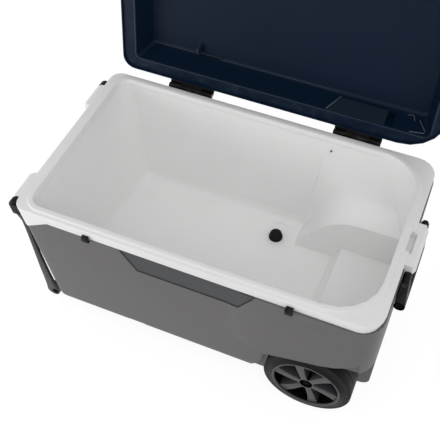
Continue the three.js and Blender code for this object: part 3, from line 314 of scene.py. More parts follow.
@dataclass(frozen=True)
class Rubber:
    """A soft-touch black with dust in its pores."""

    name: str
    colour: Colour
    roughness: float = 0.7
    scuff: float = 0.08
    scuff_scale: float = 120.0
    pore_scale: float = 900.0
    pore_depth: float = 0.00012
    dust: float = 0.35
    dust_scale: float = 35.0
    dust_light: float = 2.4
    specular: float = 0.3

    def build(self) -> bpy.types.Material:
        """Makes the material."""
        board = NodeBoard(self.name)
        patches = board.noise(self.dust_scale, 5.0, 0.65)
        dusty = board.spread(patches, 0.0, self.dust, 0.45, 0.75)
        colour = board.tint(dusty, self.colour, shade(self.colour, self.dust_light))
        rub = board.noise(self.scuff_scale)
        rough = board.spread(rub, self.roughness - self.scuff, self.roughness + self.scuff)
        pores = board.bump(board.noise(self.pore_scale, 3.0), self.pore_depth, 0.7)
        inputs = {"Base Color": colour, "Roughness": rough, "Normal": pores}
        return board.coat({**inputs, "Specular IOR Level": self.specular})


@dataclass(frozen=True)
class PlatedSteel:
    """Zinc-plated rod, drawn along one axis."""

    name: str
    colour: Colour = (0.52, 0.53, 0.54)
    roughness: float = 0.34
    streak_scale: float = 300.0
    streak_stretch: Point = (1.0, 0.05, 1.0)

    def build(self) -> bpy.types.Material:
        """Makes the material."""
        board = NodeBoard(self.name)
        drawn = board.noise(self.streak_scale, 3.0, 0.6, board.stretched(self.streak_stretch))
        streak = board.spread(drawn, 0.0, 1.0)
        return board.coat({
            "Metallic": 1.0,
            "Base Color": board.tint(streak, shade(self.colour, 0.85), shade(self.colour, 1.08)),
            "Roughness": board.spread(drawn, self.roughness - 0.07, self.roughness + 0.1),
            "Normal": board.bump(drawn, 0.00005, 0.5),
        })


@dataclass(frozen=True)
class Foam:
    """Closed-cell insulating foam."""

    name: str
    colour: Colour = (0.80, 0.72, 0.55)
    roughness: float = 0.95
    cell_scale: float = 600.0
    cell_depth: float = 0.0004

    def build(self) -> bpy.types.Material:
        """Makes the material."""
        board = NodeBoard(self.name)
        inputs = {"Scale": self.cell_scale, "Vector": board.place}
        cell = board.add("ShaderNodeTexVoronoi", inputs).outputs["Distance"]
        return board.coat({
            "Base Color": board.tint(cell, shade(self.colour, 0.88), self.colour),
            "Roughness": self.roughness,
            "Normal": board.bump(cell, self.cell_depth, 0.6),
        })


FINISHES: dict[Slot | Tone, Moulding | Rubber | PlatedSteel | Foam] = {
    # Painted shade: near-black for recess floors, the hub's deep faces and dark ends
    Tone.PAINTED_SHADE: Moulding(
        "well_black", (0.0018, 0.0018, 0.0022), 0.7, scuff=0.03, specular=0.04, wear=0.0
    ),
    # Painted sheen: a lighter navy standing for highlights on rounded edges
    Tone.PAINTED_SHEEN: Moulding("lid_sheen", (0.016, 0.028, 0.046), 0.4, specular=0.3, wear=0.0),
    # Painted glint: a pale colour standing for highlights on small rounded edges
    Tone.PAINTED_GLINT: Moulding("lid_glint", (0.075, 0.095, 0.12), 0.4, specular=0.4, wear=0.0),
    # Painted light: a lighter copy of the lid's navy for the pocket's lit slope
    Tone.LIT_POCKET: Moulding(
        "lid_pocket", (0.004, 0.0125, 0.026), 0.5, cloud=0.03, specular=0.24, wear=0.0
    ),
    Slot.SHELL: Moulding(
        "shell_grey", (0.098, 0.093, 0.097), 0.52, cloud=0.01, scuff=0.015, grain_depth=0.00008,
        wear=0.03, dust=0.05, dust_level=(-0.03, 0.04),
    ),
    Slot.LINER: Moulding(
        "liner_white", (0.885, 0.885, 0.88), 0.4, cloud=0.012, grain_depth=0.00003, wear=0.05,
        edge_round=0.002,
    ),
    Slot.COLLAR: Moulding(
        "collar_white", (0.76, 0.76, 0.76), 0.4, cloud=0.012, grain_depth=0.00004, wear=0.08
    ),
    Slot.FOAM: Foam("foam_cream"),
    Slot.PLATE: Moulding("plate_graphite", (0.031, 0.033, 0.036), 0.45, cloud=0.04, specular=0.35),
    Slot.TRIM: Moulding(
        "trim_black", (0.004, 0.004, 0.004), 0.45, cloud=0.1, scuff=0.08, specular=0.16
    ),
    Slot.SOFT: Rubber("soft_black", (0.009, 0.009, 0.0095), dust=0.2),
    Slot.LID: Moulding(
        "lid_navy", (0.0018, 0.0092, 0.0255), 0.44, cloud=0.06, grain_depth=0.00005,
        specular=0.15, wear_tone=(0.12, 0.15, 0.2),
    ),
    Slot.ARM: Moulding("arm_grey", (0.034, 0.033, 0.034), 0.48, cloud=0.05, scuff=0.08),
    Slot.STEEL: PlatedSteel("zinc_steel"),
    Slot.TYRE: Rubber(
        "tyre_dark", (0.006, 0.006, 0.0065), 0.52, pore_scale=500.0, dust=0.12, specular=0.16
    ),
    Slot.HUB: Moulding("hub_grey", (0.043, 0.043, 0.047), 0.45, cloud=0.06, scuff=0.08),
}


def arc(centre: Pair, radius: float, start: float, end: float, steps: int = 6) -> list[Pair]:
    """Points on an arc between two angles in degrees."""
    turns = [math.radians(start + (end - start) * k / steps) for k in range(steps + 1)]
    return [(centre[0] + radius * math.cos(t), centre[1] + radius * math.sin(t)) for t in turns]


def looked_up(table: Sequence[Pair], place: float) -> float:
    """A value between the table's rows, held at its ends."""
    if place <= table[0][0]:
        return table[0][1]
    for (low, near), (high, far) in zip(table, table[1:]):
        if place <= high:
            return near + (far - near) * (place - low) / (high - low)
    return table[-1][1]


def placed(axis: str, along: float, across: Pair) -> Point:
    """A point by its place along an axis and its places in the two other directions."""
    u, v = across
    return {"x": (along, u, v), "y": (u, along, v), "z": (u, v, along)}[axis]


def linked(name: str, data: bpy.types.ID) -> bpy.types.Object:
    """A new object with its data, linked into the scene."""
    item = bpy.data.objects.new(name, data)
    bpy.context.scene.collection.objects.link(item)
    return item


@dataclass(frozen=True)
class RoundedPlan:
    """A rectangle seen from above, its corners rounded apart at each end."""

    left: float
    right: float
    half: float
    left_corner: float
    right_corner: float
    steps: int = 14
    lean: float = 0.0

    def ring(self, level: float, grow: float = 0.0) -> list[Point]:
        """The outline's points at a level, grown by a distance."""
        corners = (
            (self.right, self.half, self.right_corner, 0),
            (self.left, self.half, self.left_corner, 90),
            (self.left, -self.half, self.left_corner, 180),
            (self.right, -self.half, self.right_corner, 270),
        )
        points: list[Point] = []
        for x, y, corner, turn in corners:
            centre = (x - math.copysign(corner, x), y - math.copysign(corner, y) + self.lean)
            for u, v in arc(centre, corner + grow, turn, turn + 90, self.steps):
                points.append((u, v, level))
        return points

    def between(self, other: RoundedPlan, share: float) -> RoundedPlan:
        """The plan a share of the way to another."""
        names = ("left", "right", "half", "left_corner", "right_corner")
        pairs = ((name, getattr(self, name), getattr(other, name)) for name in names)
        return replace(self, **{name: a + (b - a) * share for name, a, b in pairs})


class Form:
    """A shape in the making, in millimetres."""

    def __init__(self) -> None:
        """Starts empty."""
        self.mesh = bmesh.new()

    def faced(self) -> Form:
        """Turns every face outwards."""
        bmesh.ops.recalc_face_normals(self.mesh, faces=self.mesh.faces)
        return self

    def outward(self) -> Form:
        """Joins what meets and turns every face outwards."""
        bmesh.ops.remove_doubles(self.mesh, verts=self.mesh.verts, dist=JOIN)
        return self.faced()

    def loop(self, points: Iterable[Point]) -> list[bmesh.types.BMEdge]:
        """Draws a closed loop of edges."""
        spots = [self.mesh.verts.new(point) for point in points]
        return [self.mesh.edges.new(pair) for pair in zip(spots, spots[1:] + spots[:1])]

    def loft(self, rings: Sequence[Sequence[Point]], ring_shut: bool = False) -> Form:
        """Skins closed loops one after another.

        Args:
            rings: The loops, with as many points each.
            ring_shut: Whether the last loop joins the first, instead of both being capped.

        Returns:
            This form.
        """
        loops = [self.loop(ring) for ring in rings]
        pairs = list(zip(loops, loops[1:]))
        if ring_shut:
            pairs.append((loops[-1], loops[0]))
        for near, far in pairs:
            bmesh.ops.bridge_loops(self.mesh, edges=near + far)
        if not ring_shut:
            for end in (loops[0], loops[-1]):
                bmesh.ops.contextual_create(self.mesh, geom=end)
        return self.outward()

    def turn(
        self, profile: Sequence[Pair], centre: Pair, axis: str = "y", steps: int = 72
    ) -> Form:
        """Spins a profile once round an axis.

        Args:
            profile: Pairs of distance from the axis and place along it.
            centre: The axis's place in the two other directions.
            axis: The axis's name.
            steps: Faces round.

        Returns:
            This form.
        """
        u, v = centre
        spots = [self.mesh.verts.new(placed(axis, along, (u + out, v))) for out, along in profile]
        lines = [self.mesh.edges.new(pair) for pair in zip(spots, spots[1:])]
        bmesh.ops.spin(
            self.mesh, geom=spots + lines, cent=placed(axis, 0, centre), axis=AXES[axis],
            angle=FULL_TURN, steps=steps, use_merge=True, use_duplicate=False,
        )
        return self.outward()

    def slab(self, outline: Sequence[Pair], axis: str, near: float, far: float) -> Form:
        """Raises a flat outline along an axis from one place to another."""
        spots = [self.mesh.verts.new(placed(axis, near, pair)) for pair in outline]
        made = bmesh.ops.extrude_face_region(self.mesh, geom=[self.mesh.faces.new(spots)])
        moved = [item for item in made["geom"] if isinstance(item, bmesh.types.BMVert)]
        bmesh.ops.translate(self.mesh, verts=moved, vec=AXES[axis] * (far - near))
        return self.outward()

    def inset(
        self, faces: list[bmesh.types.BMFace], margin: float, depth: float = 0.0, even: bool = False
    ) -> list[bmesh.types.BMFace]:
        """Insets faces as one region and returns the faces made round it."""
        made = bmesh.ops.inset_region(
            self.mesh, faces=faces, thickness=margin, depth=depth, use_even_offset=even
        )
        return made["faces"]

    def soften(self, width: float, segments: int = 3, angle: float = 30.0) -> Form:
        """Rounds the edges that are sharper than an angle in degrees."""
        limit = math.radians(angle)
        sharp = [e for e in self.mesh.edges if e.is_manifold and e.calc_face_angle(0.0) > limit]
        bmesh.ops.bevel(
            self.mesh, geom=sharp, offset=width, offset_type="OFFSET", affect="EDGES",
            segments=segments, profile=0.5, material=-1, clamp_overlap=True,
        )
        return self

    def add(self, other: Form) -> Form:
        """Takes in another form, which is used up."""
        kept = bpy.data.meshes.new("passing")
        other.mesh.to_mesh(kept)
        other.mesh.free()
        self.mesh.from_mesh(kept)
        bpy.data.meshes.remove(kept)
        return self

    def bar(self, start: Point, end: Point, radius: float, sides: int = 12) -> Form:
        """A round bar between two points."""
        run = Vector(end) - Vector(start)
        lay = run.to_track_quat("Z", "Y").to_matrix().to_4x4()
        middle = Matrix.Translation((Vector(start) + Vector(end)) / 2)
        bmesh.ops.create_cone(
            self.mesh, cap_ends=True, segments=sides, radius1=radius, radius2=radius,
            depth=run.length, matrix=middle @ lay,
        )
        return self

    def pushed(self, reach: Callable[[Vector], float]) -> Form:
        """Moves each point towards the tow end by its reach."""
        for vert in self.mesh.verts:
            vert.co.x -= reach(vert.co)
        return self

    def around(self, count: int, centre: Pair, axis: str = "y") -> Form:
        """Repeats everything evenly round an axis."""
        everything = [*self.mesh.verts, *self.mesh.edges, *self.mesh.faces]
        bmesh.ops.spin(
            self.mesh, geom=everything, cent=placed(axis, 0, centre), axis=AXES[axis],
            angle=FULL_TURN * (count - 1) / count, steps=count - 1,
            use_merge=False, use_duplicate=True,
        )
        return self.faced()

    def shifted(self, vector: Sequence[float]) -> Form:
        """Moves everything."""
        bmesh.ops.translate(self.mesh, verts=self.mesh.verts, vec=vector)
        return self

    def swung(self, degrees: float, axis: str, centre: Point) -> Form:
        """Turns everything about an axis through a point."""
        matrix = Matrix.Rotation(math.radians(degrees), 3, AXES[axis])
        bmesh.ops.rotate(self.mesh, verts=self.mesh.verts, cent=centre, matrix=matrix)
        return self

    def on_side(self, side: Side) -> Form:
        """Turns a form drawn for the back side over to a side."""
        if side is Side.FRONT:
            bmesh.ops.scale(self.mesh, verts=self.mesh.verts, vec=(1, -1, 1))
            self.faced()
        return self


@dataclass(frozen=True)
class Place:
    """A frame node's box in millimetres."""

    low: Vector
    high: Vector

    @classmethod
    def of(cls, node: str) -> Place:
        """Reads a node's box from the frame."""
        low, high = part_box(node)
        return cls(Vector(low) * METRE, Vector(high) * METRE)

    @property
    def middle(self) -> Vector:
        """The box's middle."""
        return (self.low + self.high) / 2

    @property
    def size(self) -> Vector:
        """The box's size."""
        return self.high - self.low

    @property
    def depths(self) -> Pair:
        """How far the box's near and far ends stand from the middle plane."""
        near, far = sorted((abs(self.low.y), abs(self.high.y)))
        return near, far


@dataclass
class Workshop:
    """Holds the frame and the made finishes, and turns forms into pieces."""

    frame: dict
    finishes: dict[Slot | Tone, bpy.types.Material] = field(default_factory=dict)

    def finish(self, slot: Slot | Tone) -> bpy.types.Material:
        """The material of a slot or tone, made once."""
        if slot not in self.finishes:
            self.finishes[slot] = FINISHES[slot].build()
        return self.finishes[slot]

    def copied(self, node: str) -> Form:
        """A frame node's shape with its loose triangles merged into whole faces."""
        form = Form()
        mesh = form.mesh
        mesh.from_mesh(self.frame["nodes"][node].data)
        bmesh.ops.scale(mesh, verts=mesh.verts, vec=(METRE, METRE, METRE))
        bmesh.ops.remove_doubles(mesh, verts=mesh.verts, dist=WELD)
        limit = math.radians(FLAT)
        bmesh.ops.dissolve_limit(mesh, angle_limit=limit, verts=mesh.verts, edges=mesh.edges)
        return form

    def piece(
        self,
        name: str,
        form: Form,
        body: Body,
        slot: Slot,
        stands_for: Sequence[str] = (),
        crease: float = CREASE,
        second: Slot | Tone | None = None,
        first: Tone | None = None,
    ) -> None:
        """Makes a form a finished piece that rides on a body.

        Args:
            name: The piece's name.
            form: Its shape, in place, which this uses up.
            body: The body that it rides on.
            slot: Its material slot.
            stands_for: The frame nodes that it replaces.
            crease: Edges sharper than this many degrees stay sharp.
            second: A second finish, for the faces marked with it.
            first: A finish to wear in place of the slot's own.
        """
        mesh = form.mesh
        shrink = 1 / METRE
        bmesh.ops.scale(mesh, verts=mesh.verts, vec=(shrink, shrink, shrink))
        for face in mesh.faces:
            face.smooth = True
        limit = math.radians(crease)
        for edge in mesh.edges:
            edge.smooth = edge.calc_face_angle(0.0) < limit
        data = bpy.data.meshes.new(name)
        mesh.to_mesh(data)
        mesh.free()
        for finish in (first or slot, second):
            if finish is not None:
                data.materials.append(self.finish(finish))
        piece = linked(name, data)
        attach(piece, body.value)
        if stands_for:
            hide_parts(*stands_for)
        LOG.info("%s: %d faces", name, len(data.polygons))

    def restyle(
        self,
        node: str,
        body: Body,
        slot: Slot,
        crease: float = CREASE,
        soft: Softness | None = None,
    ) -> None:
        """Puts a smooth-shaded copy in a node's place.

        Args:
            node: The node's name.
            body: The body that it rides on.
            slot: Its material slot.
            crease: Edges sharper than this many degrees stay sharp.
            soft: The width and the steps that its sharp edges are rounded by, or None.
        """
        form = self.copied(node)
        if soft is not None:
            form.soften(*soft)
        self.piece(f"{node}_skin", form, body, slot, [node], crease)

    def dress(self, node: str, slot: Slot) -> None:
        """Gives a frame node that stays its finish."""
        data = self.frame["nodes"][node].data
        data.materials.clear()
        data.materials.append(self.finish(slot))


def pan_screw(centre: Pair, face: float) -> Form:
    """A pan-head screw with a socket, standing on a face that looks along Y.

    Args:
        centre: Its axis's place in X and Z.
        face: The face's place in Y.

    Returns:
        The screw's form.
    """
    head, rise, socket, sunk, bury = 3.3, 1.7, 1.5, 1.0, 0.6
    dome = arc((head - rise, 0.0), rise, 0.0, 90.0, 4)
    profile = [(0.0, rise - sunk), (socket * 0.8, rise - sunk), (socket, rise), *reversed(dome)]
    profile += [(head, -bury), (0.0, -bury)]
    return Form().turn([(out, face + up) for out, up in profile], centre, steps=20)


@dataclass
class Tub:
    """The grey shell, the white liner and collar, the plate and the small trim on them."""

    shop: Workshop
    mouth: RoundedPlan = RoundedPlan(-351, 354, 203, 27, 90)
    floor: RoundedPlan = RoundedPlan(-309, 345, 187, 26, 70)
    floor_level: float = 28
    lip_level: float = 320
    ledge_level: float = 316
    lip_width: float = 11
    rim_foot: float = 306
    rim_skin: float = 0.5
    rim_round: float = 2.2
    cove: float = 2.4
    plate_margin: float = 2.6
    plate_sink: float = -0.7
    tow_push: tuple[Pair, ...] = ((0, 18), (258, 9), (297, 6.5), (316, 0))
    push_span: Pair = (-235, -300)
    skirt_end: float = -374
    dimple: Point = (155, 197.6, 286)
    dimple_radius: float = 2.2
    dimple_proud: float = 0.5
    loop_soft: Softness = (0.8, 2)
    foot_soft: Softness = (1.5, 3)

    def rim_section(self) -> list[Pair]:
        """The rim's cross-section as pairs of growth from the mouth and level."""
        top = self.lip_level + self.rim_skin / 2
        radius, out = self.rim_round, self.lip_width
        inner = arc((radius - self.rim_skin, top - radius), radius, 180, 90, 5)
        outer = arc((out - radius, top - radius), radius, 90, 0, 5)
        cove = arc((out + self.cove, self.ledge_level + self.cove), self.cove, 180, 268, 5)
        buried = self.ledge_level - 2 * self.rim_skin
        return [*inner, *outer, *cove, (out + self.cove, buried), (radius, buried)]

    def tow_reach(self, spot: Vector) -> float:
        """How far the shell's tow end stands out past the frame's, at a point."""
        start, full = self.push_span
        along = min(1.0, max(0.0, (spot.x - start) / (full - start)))
        if spot.x < self.skirt_end:
            return 0.0
        return along * looked_up(self.tow_push, spot.z)

    def mouth_rim(self) -> None:
        """Rounds the mouth's lip over from the inner wall to the collar's ledge."""
        section = self.rim_section()
        rings = [self.mouth.ring(level, grow) for grow, level in section]
        share = (self.rim_foot - self.floor_level) / (self.lip_level - self.floor_level)
        low = self.floor.between(self.mouth, share)
        rings.append(low.ring(self.rim_foot, self.rim_skin))
        rings.append(low.ring(self.rim_foot, -self.rim_skin / 2))
        form = Form().loft(rings, ring_shut=True)
        for face in form.mesh.faces:
            spot = face.calc_center_median()
            inward = face.normal.x * spot.x + face.normal.y * spot.y < 0
            if inward and spot.z < self.lip_level - self.rim_round:
                face.material_index = 1
        self.shop.piece("mouth_rim", form, Body.TUB, Slot.COLLAR, second=Slot.LINER)

    def plate(self) -> None:
        """Sinks the plate's plain field inside a thin dark border."""
        form = self.shop.copied("front_plate")
        field_faces = [f for f in form.mesh.faces if f.normal.y < -FACING]
        for face in form.inset(field_faces, self.plate_margin, even=True):
            face.material_index = 1
        form.inset(field_faces, abs(self.plate_sink), self.plate_sink, even=True)
        self.shop.piece(
            "front_plate_face", form, Body.TUB, Slot.PLATE, ["front_plate"], second=Slot.TRIM
        )

    def gate_mark(self) -> None:
        """The round moulding mark high on the liner's back wall."""
        radius, proud = self.dimple_radius, self.dimple_proud
        profile = [(0.0, proud), (radius, proud), (radius, -BURIED), (0.0, -BURIED)]
        mark = Form().turn(profile, (0, 0), steps=20).shifted(self.dimple)
        self.shop.piece("liner_gate_mark", mark, Body.TUB, Slot.PLATE)

    def small_trim(self) -> None:
        """The tie loops and the feet."""
        for end in ("left", "right"):
            self.shop.restyle(f"tie_loop_{end}", Body.TUB, Slot.TRIM, soft=self.loop_soft)
        for side in Side:
            self.shop.restyle(f"foot_{side.word}", Body.TUB, Slot.SOFT, soft=self.foot_soft)

    def build(self) -> None:
        """Makes every piece of the tub."""
        for node, slot in (("tub_shell", Slot.SHELL), ("collar", Slot.COLLAR)):
            form = self.shop.copied(node).pushed(self.tow_reach)
            self.shop.piece(f"{node}_skin", form, Body.TUB, slot, [node])
        self.shop.restyle("tub_liner", Body.TUB, Slot.LINER, WIDE_CREASE)
        self.gate_mark()
        self.mouth_rim()
        self.plate()
        self.small_trim()
        self.shop.dress("tub_foam", Slot.FOAM)


@dataclass
class Drain:
    """The drain's inside fitting, its nut and the cap outside."""

    shop: Workshop
    knurls: int = 16
    knurl_radius: float = 1.3
    knurl_share: float = 0.8
    knurl_foot: float = 11.0
    knurl_shoulder: float = 2.0
    knurl_tip: float = 0.8
    fitting_soft: Softness = (0.6, 2)
    cap_soft: Softness = (0.7, 2)

    def build(self) -> None:
        """Makes the fitting with a ribbed crown, the nut and the cap."""
        place = Place.of("drain_fitting")
        centre = (place.middle.x, place.middle.y)
        crown = place.size.x / 2 * self.knurl_share
        top, radius = place.high.z, self.knurl_radius
        foot, tip = top - self.knurl_foot, top - self.knurl_tip
        profile = [(0.0, foot), (radius, foot), (radius, top - self.knurl_shoulder)]
        profile += [(radius / 2, tip), (0.0, tip)]
        rib = Form().turn(profile, (centre[0] + crown, centre[1]), "z", 10)
        form = self.shop.copied("drain_fitting").soften(*self.fitting_soft)
        form.add(rib.around(self.knurls, centre, "z"))
        self.shop.piece("drain_fitting_skin", form, Body.TUB, Slot.TRIM, ["drain_fitting"])
        self.shop.restyle("drain_nut", Body.TUB, Slot.TRIM)
        self.shop.restyle("drain_cap", Body.DRAIN_CAP, Slot.TRIM, soft=self.cap_soft)


def opened(form: Form) -> Form:
    """Swings a form drawn on the closed lid to where the open lid stands."""
    return form.swung(-LID_OPEN, "x", (0, *LID_AXIS))


@dataclass
class Hinges:
    """Two hinges: a base on the tub, a leaf on the lid, a pin and screws."""

    shop: Workshop
    plate_soft: Softness = (0.6, 2)
    screw_places: tuple[float, ...] = (-38, 0, 38)
    screw_level: float = 332.3
    leaf_back: float = 226.3

    def build(self) -> None:
        """Makes both hinges."""
        for end in ("left", "right"):
            leaf = f"hinge_leaf_{end}"
            self.shop.restyle(f"hinge_base_{end}", Body.TUB, Slot.TRIM, soft=self.plate_soft)
            self.shop.restyle(leaf, Body.LID, Slot.TRIM, soft=self.plate_soft)
            screws, middle = Form(), Place.of(leaf).middle.x
            for along in self.screw_places:
                screws.add(pan_screw((middle + along, self.screw_level), self.leaf_back))
            self.shop.piece(f"hinge_screws_{end}", opened(screws), Body.LID, Slot.STEEL)
            self.shop.restyle(f"hinge_pin_{end}", Body.TUB, Slot.STEEL)


@dataclass
class Lid:
    """The navy lid: its outer shell, its inner tray and the details in the tray."""

    shop: Workshop
    underside: float = 320.6
    panel_level: float = 376.6
    bury: float = 0.3
    edge: RoundedPlan = RoundedPlan(-366, 372, 224.5, 29, 90, lean=-1.5)
    tray: RoundedPlan = RoundedPlan(-333, 342, 194, 9, 12, lean=-2.0)
    bead_half: float = 1.5
    bead_rise: float = 0.22
    edge_bead: float = -8.5
    tray_bead: float = 3.0
    clip_place: Pair = (-199, 160)
    clip_size: Point = (5.0, 24.0, 20.0)
    clip_corner: float = 4.0
    clip_slope: float = 7.0
    clip_soft: float = 0.8
    slot_span: Pair = (-205, -143)
    slot_y: float = 177.0
    slot_width: float = 10.0
    slot_rise: float = 5.0
    slot_rim: float = 2.6
    slot_step: Pair = (0.2, -0.8)
    pocket_x: Pair = (139.5, 246)
    pocket_left_mouth: float = 121.0
    pocket_mouth: Pair = (191.7, 322.0)
    pocket_deep: Pair = (178.0, 359.0)
    pocket_back: float = 191.9
    pocket_edge: tuple[Point, Point] = ((118.5, 190.6, 322.5), (138.5, 180.6, 364))
    pocket_edge_radius: float = 1.6
    # A thin bar in a painted sheen, drawing the highlight along the panel's edge
    panel_sheen_line: tuple[Point, Point] = ((-316, 176.6, 374.4), (128, 176.6, 374.4))
    panel_sheen_line_radius: float = 1.4
    # Thin bars in a painted glint, drawing highlights at the tray's corner
    glint_bars: tuple[tuple[Point, Point], ...] = (
        ((286, 180.9, 365), (297, 180.1, 368)),
        ((298, 180.1, 368), (304, 183.6, 354)),
        ((313, 182.2, 359.5), (331, 187.2, 332)),
        ((331, 188.4, 327), (300, 191.0, 323.5)),
    )
    glint_bar_radius: float = 1.0

    def fix(
        self, name: str, form: Form, first: Tone | None = None, second: Tone | None = None
    ) -> None:
        """Makes a detail drawn on the closed lid a piece of the open one."""
        self.shop.piece(name, opened(form), Body.LID, Slot.LID, second=second, first=first)

    def bead(self, name: str, plan: RoundedPlan, grow: float, first: Tone | None = None) -> None:
        """A raised line round the tray's flange, grown from a plan."""
        half, rise = self.bead_half, self.bead_rise
        side = [(half, self.bury), (half * 0.8, -rise * 0.6), (half * 0.35, -rise)]
        section = side + [(-across, up) for across, up in reversed(side)]
        rings = [plan.ring(self.underside + up, across + grow) for across, up in section]
        self.fix(name, Form().loft(rings, ring_shut=True), first)

    def lit_pocket(self) -> None:
        """The pocket's sloping back in a lighter navy painted as lit, and the rolled edge at its
        left in a painted glint.
        """
        near, far = self.pocket_x
        mouth, deep, slack = self.pocket_mouth, self.pocket_deep, 1.0
        form = Form().slab([mouth, deep, (self.pocket_back, deep[1])], "x", near, far)
        for vert in form.mesh.verts:
            if vert.co.x < near + slack and vert.co.z < mouth[1] + slack:
                vert.co.x = self.pocket_left_mouth
        self.fix("lid_pocket_back", form, Tone.LIT_POCKET)
        # The rolled edge is a thin bar in a painted glint
        edge = Form().bar(*self.pocket_edge, self.pocket_edge_radius)
        self.fix("lid_pocket_edge", edge, Tone.PAINTED_GLINT)

    def corner_glint_bars(self) -> None:
        """Thin bars in a painted glint on the tray's wall beside the pocket, drawing highlights at
        its corner.
        """
        form = Form()
        for start, end in self.glint_bars:
            form.bar(start, end, self.glint_bar_radius, 8)
        self.fix("lid_corner_glint_bars", form, Tone.PAINTED_GLINT)

    def clip(self) -> None:
        """A small fin that stands up from the tray's panel, in a painted sheen."""
        (x, y), (thick, depth, tall) = self.clip_place, self.clip_size
        back, front = y + depth / 2, y - depth / 2
        foot, top = self.panel_level + self.bury, self.panel_level - tall
        outline = [(front, foot), (back, foot), (back, top + self.clip_corner)]
        outline += [(back - self.clip_corner, top), (front + self.clip_slope, top)]
        form = Form().slab(outline, "x", x - thick / 2, x + thick / 2)
        self.fix("lid_clip", form.soften(self.clip_soft, 3), Tone.PAINTED_SHEEN)

    def strap_slot(self) -> None:
        """A long narrow rim in a painted sheen beside the clip, its floor in near-black painted
        shade.
        """
        left, right = self.slot_span
        half, y = self.slot_width / 2, self.slot_y
        outline = arc((right - half, y), half, -90, 90, 8) + arc((left + half, y), half, 90, 270, 8)
        foot, top = self.panel_level + self.bury, self.panel_level - self.slot_rise
        form = Form().slab(outline, "z", foot, top)
        faces = [f for f in form.mesh.faces if f.normal.z < -FACING]
        form.inset(faces, self.slot_rim)
        form.inset(faces, *self.slot_step)
        # The sunk floor takes near-black painted shade; the rim keeps the painted sheen
        for face in faces:
            face.material_index = 1
        self.fix("lid_strap_slot", form, Tone.PAINTED_SHEEN, Tone.PAINTED_SHADE)

    def build(self) -> None:
        """Makes every piece of the lid."""
        self.shop.restyle("lid_shell", Body.LID, Slot.LID, FINE_CREASE)
        self.shop.restyle("lid_liner", Body.LID, Slot.LID, WIDE_CREASE)
        self.bead("lid_edge_bead", self.edge, self.edge_bead)
        # The tray's bead is only 0.22 mm proud; its painted sheen draws the edge's highlight
        self.bead("lid_tray_bead", self.tray, self.tray_bead, Tone.PAINTED_SHEEN)
        # A thin bar along the panel's edge in a painted sheen, drawing the edge's highlight
        line = Form().bar(*self.panel_sheen_line, self.panel_sheen_line_radius, 10)
        self.fix("lid_panel_sheen_line", line, Tone.PAINTED_SHEEN)
        self.lit_pocket()
        self.corner_glint_bars()
        self.clip()
        self.strap_slot()
        self.shop.dress("lid_foam", Slot.FOAM)


@dataclass(frozen=True)
class Grip:
    """A soft ribbed sleeve on a bar along Y."""

    rib_pitch: float
    rib_depth: float
    end_plain: float
    end_round: float = 1.6
    groove_share: float = 0.3
    groove: tuple[Pair, ...] = ((0.0, 0.0), (0.3, 0.8), (0.5, 1.0), (0.7, 0.8), (1.0, 0.0))
    steps: int = 40

    def form(self, place: Place, skin: float = 0.0) -> Form:
        """Turns the sleeve over a bar's box."""
        radius, edge = place.size.z / 2 + skin, self.end_round
        low, high, wide = place.low.y, place.high.y, self.rib_pitch * self.groove_share
        profile = [(0.0, low), *arc((radius - edge, low + edge), edge, -90, 0, 4)]
        y = low + self.end_plain
        while y + self.rib_pitch < high - self.end_plain:
            profile += [
                (radius - self.rib_depth * deep, y + wide * along) for along, deep in self.groove
            ]
            y += self.rib_pitch
        profile += [*arc((radius - edge, high - edge), edge, 0, 90, 4), (0.0, high)]
        return Form().turn(profile, (place.middle.x, place.middle.z), steps=self.steps)


@dataclass
class TowHandle:
    """The pull-out U handle at the tow end: frame, head caps, pins and grip."""

    shop: Workshop
    grip: Grip = Grip(rib_pitch=9.0, rib_depth=0.9, end_plain=14.0)
    wider_out: tuple[Pair, ...] = ((-22, 3.5), (20, 5.0), (80, 4.0), (150, 1.0), (275, 0.0))
    wider_in: tuple[Pair, ...] = ((10, 0.0), (60, 3.4), (245, 3.4), (275, 0.0))
    disc_radius: float = 7.5
    disc_shift: Pair = (4.0, 2.0)
    disc_proud: float = 0.8
    cap_soft: Softness = (0.9, 2)

    def widened(self, form: Form) -> Form:
        """Moves the arms' narrow faces apart between the grip and the head."""
        form.mesh.normal_update()
        for vert in form.mesh.verts:
            table = self.wider_in if vert.normal.x > 0 else self.wider_out
            vert.co.x += looked_up(table, vert.co.z) * vert.normal.x
        return form

    def disc(self, side: Side) -> Form:
        """A button over the grip bar's end, shifted onto the arm end's dark patch."""
        middle = Place.of("tow_grip").middle
        face = Place.of("tow_frame").high.y
        radius, proud, foot = self.disc_radius, self.disc_proud, face - BURIED
        profile = [(0.0, face + proud), *arc((radius - proud, face), proud, 90, 0, 4)]
        profile += [(radius, foot), (0.0, foot)]
        centre = (middle.x + self.disc_shift[0], middle.z + self.disc_shift[1])
        return Form().turn(profile, centre, steps=32).on_side(side)

    def build(self) -> None:
        """Makes every piece of the handle."""
        form = self.widened(self.shop.copied("tow_frame"))
        self.shop.piece("tow_frame_skin", form, Body.TOW, Slot.ARM, ["tow_frame"])
        for side in Side:
            name, form = f"tow_disc_{side.word}", self.disc(side)
            # Each button wears near-black painted shade, standing partly for the shade at the arm's
            # end
            self.shop.piece(name, form, Body.TOW, Slot.TRIM, first=Tone.PAINTED_SHADE)
        for side in Side:
            self.shop.restyle(f"tow_cap_{side.word}", Body.TOW, Slot.TRIM, soft=self.cap_soft)
            self.shop.restyle(f"tow_pin_{side.word}", Body.TUB, Slot.TRIM)
        form = self.grip.form(Place.of("tow_grip"))
        self.shop.piece("tow_grip_sleeve", form, Body.TOW, Slot.SOFT, ["tow_grip"])


